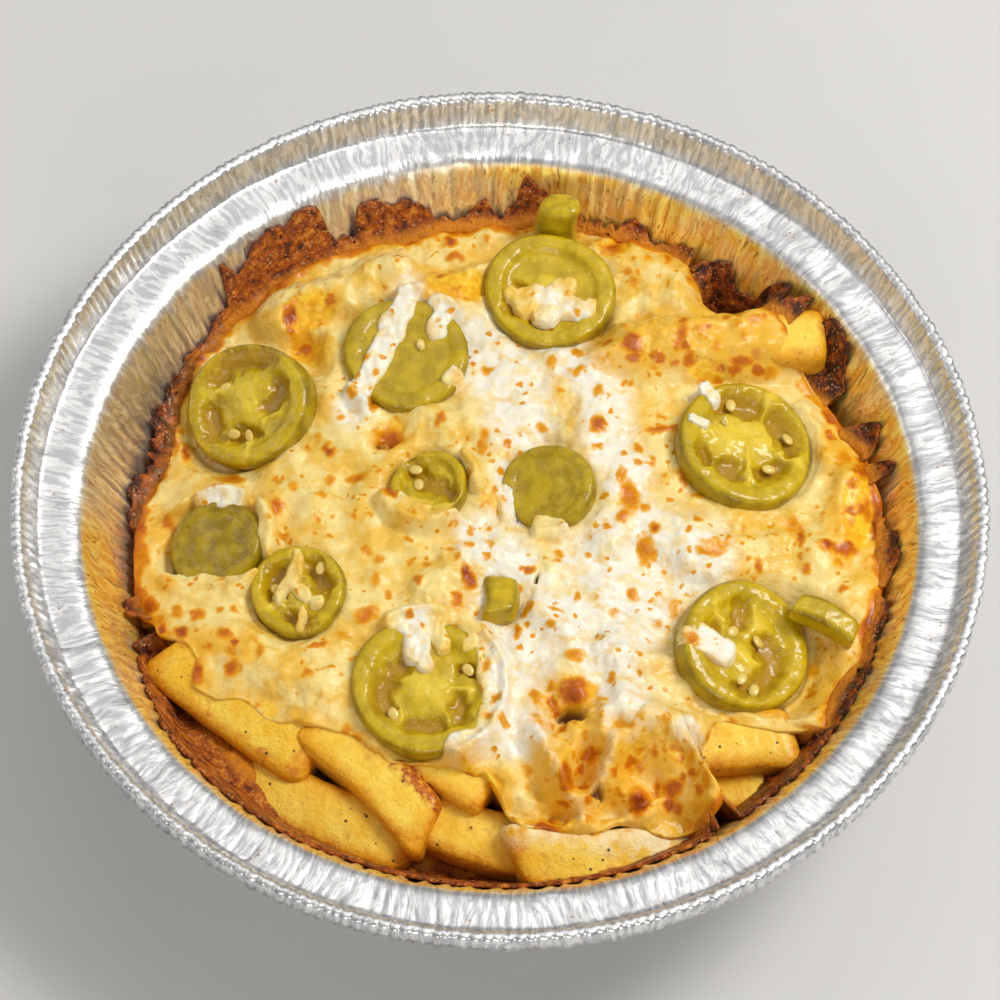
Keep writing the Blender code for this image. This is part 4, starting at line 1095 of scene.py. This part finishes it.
# Painted highlight over the middle band, together with the real white strings and bits of cheese
whiteness = (cheese.field("white") * (0.35 + 0.8 * broken)).at_most(1)
cheese_colour = cheese.mix(whiteness, cheese_colour, (0.88, 0.83, 0.69))
golden = (cheese.field("thin") * (0.3 + 0.9 * fine)).at_most(1)
cheese_colour = cheese.mix(golden, cheese_colour, (0.84, 0.46, 0.020))
patch = cheese.mix((mottle + fine - 0.5).step(0.35, 0.65), (0.84, 0.40, 0.007),
                   (0.92, 0.60, 0.035))
cheese_colour = cheese.mix(cheese.field("patch"), cheese_colour, patch)
warped = cheese.warped(2.2, 2.6)
dots = 1 - cheese.cells(2.5, warped).step(0.16, 0.34)
dots = dots * cheese.noise(9, 2).step(0.42, 0.58) * 0.5
browning = cheese.field("toast") * 0.92
toasted = browning + (fine - 0.5) * 0.4 * browning.step(0.02, 0.3)
blotches = (1 - cheese.cells(4.0, warped).step(0.16, 0.50)) * cheese.field("thin")
toasted = toasted.at_least(blotches * 0.72).at_least(dots)
toasted = toasted.at_least(cheese.field("rim") * (0.1 + 1.2 * mottle))
toasted_colour = cheese.ramp(toasted, (0.0, (0.84, 0.50, 0.05)), (0.4, (0.78, 0.36, 0.006)),
                             (0.66, (0.64, 0.19, 0.003)), (0.88, (0.38, 0.070, 0.003)),
                             (1.0, (0.16, 0.028, 0.003)))
cheese_colour = cheese.mix(toasted.step(0.06, 0.42), cheese_colour, toasted_colour)
# Painted shade: dark red-brown inside the holes and deep folds
cheese_colour = cheese.mix(cheese.field("hole"), cheese_colour, (0.16, 0.040, 0.004))
cheese.feed("Base Color", cheese_colour)
cheese.bump(cheese.noise(2.2, 3) + 0.35 * fine, 0.40)

blanket_piece = settle("cheese_blanket", cheese_mesh, cheese, "melted_cheese", "melted_cheese")
for name, values in fields.items():
    carry(blanket_piece, name, values)


# The burnt crust
# Cheese that ran up against the hot foil and baked to a thin, brittle, red-brown lace. It clings
# to the wall in ragged tongues, and its lower edge is one with the blanket.

CREST = (                   # azimuth in degrees, height of the crust's ragged top
    (0, 34.5), (4, 32), (8, 30), (12, 36), (15, 31), (17, 34), (19, 36.5), (22, 31), (26, 30),
    (28, 32.5), (32, 38.4), (35, 39.3), (38, 37), (41, 39), (44, 38.6), (47, 35), (49, 30.5),
    (52, 30), (55, 33.4), (58, 31.5), (62, 32.5), (66, 31.5), (72, 32.5), (78, 31.0), (82, 32),
    (85, 35), (88, 36.8), (90, 31.5), (92, 30), (94, 33.3), (97, 30), (101, 30.5), (104, 32.8),
    (107, 34.5), (110, 35.2), (113, 35.8), (115, 30.5), (118, 30.5), (119.5, 38.9),
    (123, 39.3), (127, 38.6), (131, 36.5), (134, 34.5), (136, 38.6), (138, 30), (144, 28.8),
    (150, 28.2), (158, 27.6), (163, 26), (170, 26.8), (180, 25.6), (190, 26), (194, 27.8),
    (199, 27), (205, 29), (212, 31), (217, 35), (225, 35.8), (233, 36.4), (241, 36.2),
    (246, 34.5), (251, 30), (260, 28), (275, 30.5), (290, 32.5), (300, 34), (310, 33), (320, 34.5),
    (328, 33), (336, 33.5), (345, 32.5), (353, 33),
)
# How far it laps over the bare fries: azimuth, millimetres in from the wall
CRUST_LAP = ((0, 2), (206, 2), (212, 3), (218, 5), (226, 6), (234, 4.8), (241, 3), (246, 2),
             (300, 2), (314, 3.5), (322, 3.5), (330, 2))
CRUST_COLUMNS = 1050
CRUST_ROWS = 22
CRUST_THICKNESS = 0.7
CRUST_MIDDLE_RADIUS = 74


def crust_foot(azimuth):
    """Height at which the crust starts on the wall."""
    bare = round_curve(BARE_BED, azimuth, 1) - 2.0
    covered = edge_height(azimuth) - 2.2
    return bare + touching_wall(azimuth) * (covered - bare)


crust_mesh = bmesh.new()
bmesh.ops.create_grid(crust_mesh, x_segments=CRUST_COLUMNS, y_segments=CRUST_ROWS, size=1.0)
strip = points_of(crust_mesh)
azimuth = (strip[:, 0] + 1) * 180
share = 0.5 * (strip[:, 1] + 1)
around = around_pan(azimuth, CRUST_MIDDLE_RADIUS)
lap = round_curve(CRUST_LAP, azimuth, 1)
foot = crust_foot(azimuth) + 1.3 * (lap - 2)
crest = round_curve(CREST, azimuth, 1)
crest += (0.35 + 0.65 * smooth(1.5, 5, crest - foot)) * (
    1.5 * lumps(around, 3.4, 3.3, 2) + 0.6 * lumps(around, 1.0, 5.3, 1))
crest = np.minimum(crest, LEDGE_HEIGHT - 0.5)
touching = touching_wall(azimuth)
seat_radius = blanket_edge(azimuth) - 0.5
seat_height = np.interp(azimuth, edge_knots, edge_tops, period=360) - 0.5
bare_radius = wall_radius(foot) - lap * (1 + 0.5 * lumps(around, 3.0, 7.1, 2))
start_radius = bare_radius + touching * (seat_radius - bare_radius)
start_height = foot + touching * (seat_height - foot)
rise = np.maximum(crest - start_height, 0.05)
height = start_height + share * rise
climb = smooth(0.0, 1.0, share * rise / (0.6 + 0.8 * lap))
radius = start_radius + climb * (wall_radius(height) + 0.35 - start_radius)
place = on_circles(radius, azimuth, height)
grain = 0.30 * lumps(place, 1.1, 1.1, 3) + 0.5 * lumps(place, 4.5, 2.1)
roughness = (0.35 + 0.65 * climb) * (1 - 0.6 * smooth(2.2, 4.5, lap))
radius -= (0.3 + np.maximum(grain, -0.3)) * roughness - 0.3 * smooth(0.7, 1.0, share)
radius = np.minimum(radius, wall_radius(height) + 0.1)
lace = lumps(place, 2.4, 6.6, 2)
kept = (rise > 0.9) & ((lace < 0.45) | (share < 0.3))
move_points(crust_mesh.verts, on_circles(radius, azimuth, height))
for vertex, keep in zip(crust_mesh.verts, kept):
    vertex.select = bool(keep)
gone = [face for face in crust_mesh.faces if not any(vertex.select for vertex in face.verts)]
bmesh.ops.delete(crust_mesh, geom=gone, context="FACES")
bmesh.ops.remove_doubles(crust_mesh, verts=crust_mesh.verts[:], dist=0.001)

crust = Finish("burnt_cheese", Roughness=0.5, Specular_IOR_Level=0.35, Coat_Weight=0.1,
               Coat_Roughness=0.2)
# Painted shade: darker crust on the left and right walls, where it lies in shadow
char = crust.noise(2.2, 5, None, 0.7) - crust.field("dark") * 0.10
crust_colour = crust.ramp(char, (0.36, (0.055, 0.010, 0.002)), (0.46, (0.27, 0.050, 0.002)),
                          (0.56, (0.48, 0.115, 0.005)), (0.68, (0.76, 0.32, 0.030)))
# Painted glints: pale flecks scattered over the crust
flecks = (1 - crust.cells(0.75).step(0.2, 0.36)) * crust.noise(3.0, 2).step(0.44, 0.56)
crust_colour = crust.mix(flecks * 0.5, crust_colour, (0.80, 0.52, 0.22))
foot_share = (crust.field("foot") * (0.2 + 1.3 * crust.noise(2.6, 3))).at_most(1)
crust_colour = crust.mix(foot_share, crust_colour, (0.72, 0.25, 0.006))
crust.feed("Base Color", crust_colour)
crust.bump(crust.noise(0.8, 4, None, 0.7) + 0.5 * crust.cells(0.9), 0.6)

crust_piece = settle("burnt_crust", crust_mesh, crust, "burnt_cheese", "melted_cheese",
                     "fries_heap")
crust_places = np.array([vertex.co for vertex in crust_piece.data.vertices]) / MM
crust_radius, crust_azimuth = polar(crust_places)
# Painted shade: the crust lies in shadow on the left and right walls, so it is darker there, and on
# the left its foot is less orange
left_side = smooth(0.80, 0.97, -np.cos(np.radians(crust_azimuth + 8)))
right_side = smooth(0.2, 0.9, np.cos(np.radians(crust_azimuth - 5)))
carry(crust_piece, "dark", np.maximum(right_side, left_side))
off_the_wall = smooth(-1.6, -3.6, crust_radius - wall_radius(crust_places[:, 2]))
carry(crust_piece, "foot", np.maximum(
    smooth(2.2, 0.0, crust_radius - blanket_edge(crust_azimuth)) * (1 - 0.7 * left_side),
    off_the_wall * smooth(-0.2, -0.5, np.sin(np.radians(crust_azimuth)))))
crust_thickness = crust_piece.modifiers.new("Thickness", "SOLIDIFY")
crust_thickness.thickness = CRUST_THICKNESS * MM
crust_thickness.offset = 0.0


# The jalapenos
# Pickled green pepper, cut across into thick rings and then baked until the flesh wrinkled. A
# ring has dull waxy skin, a wet wall of flesh, and seed chambers round a pale core.

SLICE_CELLS = 84
SLICE_RING = 0.71           # where the wall of flesh starts, as a share of the radius
# Seed chambers sunk into the cut faces and darkened there as painted shade, as strokes in pixels
CHAMBERS = {
    "jalapeno_1": ((10, 216, 377, 228, 361, 247, 357, 266, 356), (9, 211, 410, 212, 436),
                   (10, 277, 384, 273, 397, 264, 405), (8, 233, 434, 250, 431)),
    "jalapeno_3": ((9, 522, 290, 512, 306), (8, 541, 322, 536, 316)),
    "jalapeno_5": ((10, 725, 402, 739, 398, 753, 409), (10, 777, 419, 787, 430, 793, 446),
                   (8, 724, 462, 735, 470), (8, 764, 470, 779, 466), (6, 702, 446, 708, 458)),
    "jalapeno_7": ((9, 414, 466, 424, 478, 450, 490),),
    "jalapeno_9": ((10, 278, 572, 275, 589), (10, 314, 567, 322, 584), (8, 290, 616, 306, 622)),
    "jalapeno_10": ((12, 384, 682, 383, 704), (5, 461, 668, 477, 671), (8, 408, 724, 438, 724),
                    (9, 402, 665, 392, 668), (8, 458, 700, 462, 718)),
    "jalapeno_11": ((10, 766, 644, 776, 655, 773, 674, 757, 688, 745, 687), (9, 741, 605, 742, 621),
                    (8, 715, 628, 706, 642)),
}
# Pieces that lie with their skin up, and how much of it they show
SHOWS_SKIN = {"jalapeno_2": 0.3, "jalapeno_6": 0.6, "jalapeno_8": 1.0}
# Pale core and ribs between the chambers, in the same way
CORES = {
    "jalapeno_1": ((15, 245, 392, 245, 402), (4, 282, 405, 250, 430, 245, 458),
                   (4, 222, 392, 207, 394)),
    "jalapeno_3": ((10, 545, 285, 560, 290),),
    "jalapeno_5": ((17, 733, 432, 762, 434), (4, 748, 445, 750, 480), (4, 766, 408, 772, 396),
                   (4, 716, 428, 700, 424), (4, 780, 452, 800, 466)),
    "jalapeno_7": ((5, 408, 500, 440, 508, 462, 514),),
    "jalapeno_9": ((9, 296, 594, 302, 600), (4, 296, 575, 293, 556), (4, 268, 604, 280, 602)),
    "jalapeno_10": ((15, 422, 684, 430, 688), (4, 395, 690, 400, 718), (4, 446, 690, 470, 690)),
    "jalapeno_11": ((9, 752, 612, 760, 626), (7, 738, 650, 752, 660), (4, 724, 620, 715, 600)),
}
# Seeds that lie in the chambers: column and row of each
SEEDS = {
    "jalapeno_1": ((223, 386), (232, 433), (247, 435)),
    "jalapeno_5": ((770, 467), (732, 403), (789, 437)),
    "jalapeno_7": ((415, 467), (418, 482)),
    "jalapeno_9": ((276, 588), (320, 566)),
    "jalapeno_10": ((393, 712), (468, 668)),
    "jalapeno_11": ((735, 630), (736, 645), (760, 640), (744, 677), (756, 689)),
}


def slice_frame(centre, tilt, azimuth):
    """Matrix that puts a slice's cut face, made level at z 0, in its place."""
    lean = Vector((-math.sin(math.radians(azimuth)), math.cos(math.radians(azimuth)), 0))
    return Matrix.Translation(centre) @ Matrix.Rotation(math.radians(tilt), 4, lean)


def on_slice(u, v, home):
    """Place on a slice's own cut face that a pixel shows."""
    ray = pixel_ray(u, v)
    normal = home.to_3x3() @ Vector((0, 0, 1))
    reach = (home.translation - camera_place).dot(normal) / ray.dot(normal)
    return home.inverted() @ (camera_place + ray * reach)


jalapeno = Finish("pickled_jalapeno", Roughness=0.32, Subsurface_Weight=0.2,
                  Subsurface_Scale=0.002, Specular_IOR_Level=0.28, Coat_Weight=0.4,
                  Coat_Roughness=0.10)
jalapeno.feed("Subsurface Radius", (0.9, 0.8, 0.2))
flesh_noise = jalapeno.noise(3.5, 4, None, 0.6)
flesh = jalapeno.mix(flesh_noise.step(0.35, 0.65), (0.47, 0.32, 0.002), (0.62, 0.43, 0.006))
skin = jalapeno.mix(jalapeno.noise(3.5, 3).step(0.35, 0.65), (0.26, 0.17, 0.001),
                    (0.42, 0.29, 0.002))
green = jalapeno.mix(jalapeno.field("skin"), flesh, skin)
green = jalapeno.mix(jalapeno.field("core") * (0.3 + flesh_noise), green, (0.80, 0.59, 0.045))
# Painted shade: darker amber down in the sunken seed chambers
green = jalapeno.mix(jalapeno.field("depth") * 0.7, green, (0.36, 0.17, 0.003))
brown = jalapeno.noise(1.2, 3, None, 0.65).step(0.62, 0.74) * 0.4
jalapeno.feed("Base Color", jalapeno.mix(brown, green, (0.34, 0.15, 0.008)))
jalapeno.bump(jalapeno.noise(1.6, 3) + 0.25 * jalapeno.noise(0.45, 2), 0.25)


def pepper_slice(name, centre, radius, thickness, tilt, azimuth):
    """One slice with a bulging wall of flesh round sunken chambers, and skin on its side."""
    home = slice_frame(centre, tilt, azimuth)
    phase = random.Random(name).uniform(0, 2 * math.pi)
    mesh = disc(SLICE_CELLS)
    face = points_of(mesh)

    def outline(around):
        """How far the slice reaches at an azimuth: not quite round."""
        angle = np.radians(around)
        return radius * (1 + 0.03 * np.cos(2 * angle + phase) + 0.015 * np.cos(3 * angle - phase))

    share, around = polar(face)
    face[:, :2] *= outline(around)[:, None]
    pixels = pixels_of(face @ np.array(home.to_3x3()).T + np.array(home.translation))
    pixels = astray(pixels, face, 5.0, 2.6, (phase, phase + 9), 3)
    depth = strokes(pixels, CHAMBERS.get(name, ()), 0.6)
    core = strokes(pixels, CORES.get(name, ()), 0.8) * (1 - depth)
    middle = (1 + SLICE_RING) / 2
    bulge = np.maximum(1 - ((share - middle) / (1 - middle)) ** 2, 0)
    hollow = smooth(SLICE_RING + 0.06, SLICE_RING - 0.08, share) * (name in CHAMBERS)
    face[:, 2] = (0.40 * bulge - 0.9 * hollow + 0.6 * core * hollow - 1.3 * depth
                  + 0.25 * lumps(face, 3.5, phase) + 0.07 * lumps(face, 1.0, phase)
                  - 0.35 * smooth(0.95, 1.0, share))
    move_points(mesh.verts, face)
    for out, low in ((0.15, -0.75), (0.22, -1.3), (0.2, -0.5 * thickness), (0.1, 0.9 - thickness),
                     (-0.5, 0.2 - thickness), (-3.0, -thickness)):
        skirt(mesh, at_ring(lambda around: outline(around) + out, lambda around: low))
    close_skirt(mesh, (0, 0, -thickness))
    below = np.zeros(len(mesh.verts) - len(face))
    mesh.transform(home)
    piece = settle(name.replace("jalapeno", "slice"), mesh, jalapeno, "pickled_pepper", name)
    outside = np.maximum(smooth(0.955, 1.0, share), SHOWS_SKIN.get(name, 0))
    carry(piece, "skin", np.concatenate((outside, below + 1)))
    carry(piece, "core", np.concatenate((core, below)))
    carry(piece, "depth", np.concatenate((depth, below)))


for name, values in SLICES.items():
    pepper_slice(name, *values)

# Cut-off pieces that lie or stand in the cheese: middle, length, width, thickness, heading and
# slope of their run, how square their section is, how much their ends keep of it
STRIPS = {
    "jalapeno_4": ((9.6, 67.0, 34.6), 13, 7.8, 6, 82, 80, 2.5, 0.42),
    "jalapeno_12": ((60.8, -17.5, 33.6), 12.6, 5.0, 4.8, 335, -8, 4, 0.75),
    "jalapeno_13": ((0.2, -16.5, 35.5), 8.5, 6.4, 5, 270, 12, 3.5, 0.7),
}
STRIP_BOW = 0.8
STRIP_SEED = 8.0
for name, values in STRIPS.items():
    centre, length, width, thickness, heading, slope, squareness, end_scale = values
    run = Matrix.Rotation(math.radians(heading), 3, "Z") @ Matrix.Rotation(
        -math.radians(slope), 3, "Y") @ Vector((1, 0, 0))
    half = run * (0.5 * length)
    bar = (Vector(centre) - half, Vector(centre) + half, width, thickness, STRIP_BOW, 0)
    strip_mesh, _, edge = fry_mesh(bar, STRIP_SEED, 0.3, squareness, end_scale)
    nothing = np.zeros(len(strip_mesh.verts))
    piece = settle(name.replace("jalapeno", "strip"), strip_mesh, jalapeno, "pickled_pepper", name)
    carry(piece, "skin", edge)
    carry(piece, "core", nothing)
    carry(piece, "depth", nothing)

# The flat pale seeds: half of their length, width and thickness, and how deep they lie
SEED_SIZE = (1.35, 1.0, 0.5)
SEED_DEPTH = 0.85
seeds_mesh = bmesh.new()
for name, spots in SEEDS.items():
    centre, _, _, tilt, facing = SLICES[name]
    home = slice_frame(centre, tilt, facing)
    for column, row in spots:
        spot = on_slice(column, row, home)
        draw = random.Random(column * row)
        made = bmesh.ops.create_icosphere(seeds_mesh, subdivisions=3, radius=1.0)["verts"]
        turn = Matrix.Rotation(draw.uniform(0, math.pi), 4, "Z") @ Matrix.Rotation(
            draw.uniform(-0.5, 0.5), 4, "X")
        stretch = Matrix.Diagonal((*SEED_SIZE, 1))
        bmesh.ops.transform(seeds_mesh, verts=made, matrix=home @ Matrix.Translation(
            (spot.x, spot.y, -SEED_DEPTH)) @ turn @ stretch)
seed_finish = Finish("jalapeno_seed", Roughness=0.35, Coat_Weight=0.5, Coat_Roughness=0.12)
seed_finish.feed("Base Color", seed_finish.mix(seed_finish.noise(1.2, 2), (0.66, 0.44, 0.05),
                                               (0.82, 0.64, 0.20)))
settle("jalapeno_seeds", seeds_mesh, seed_finish, "pickled_pepper")


low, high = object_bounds()
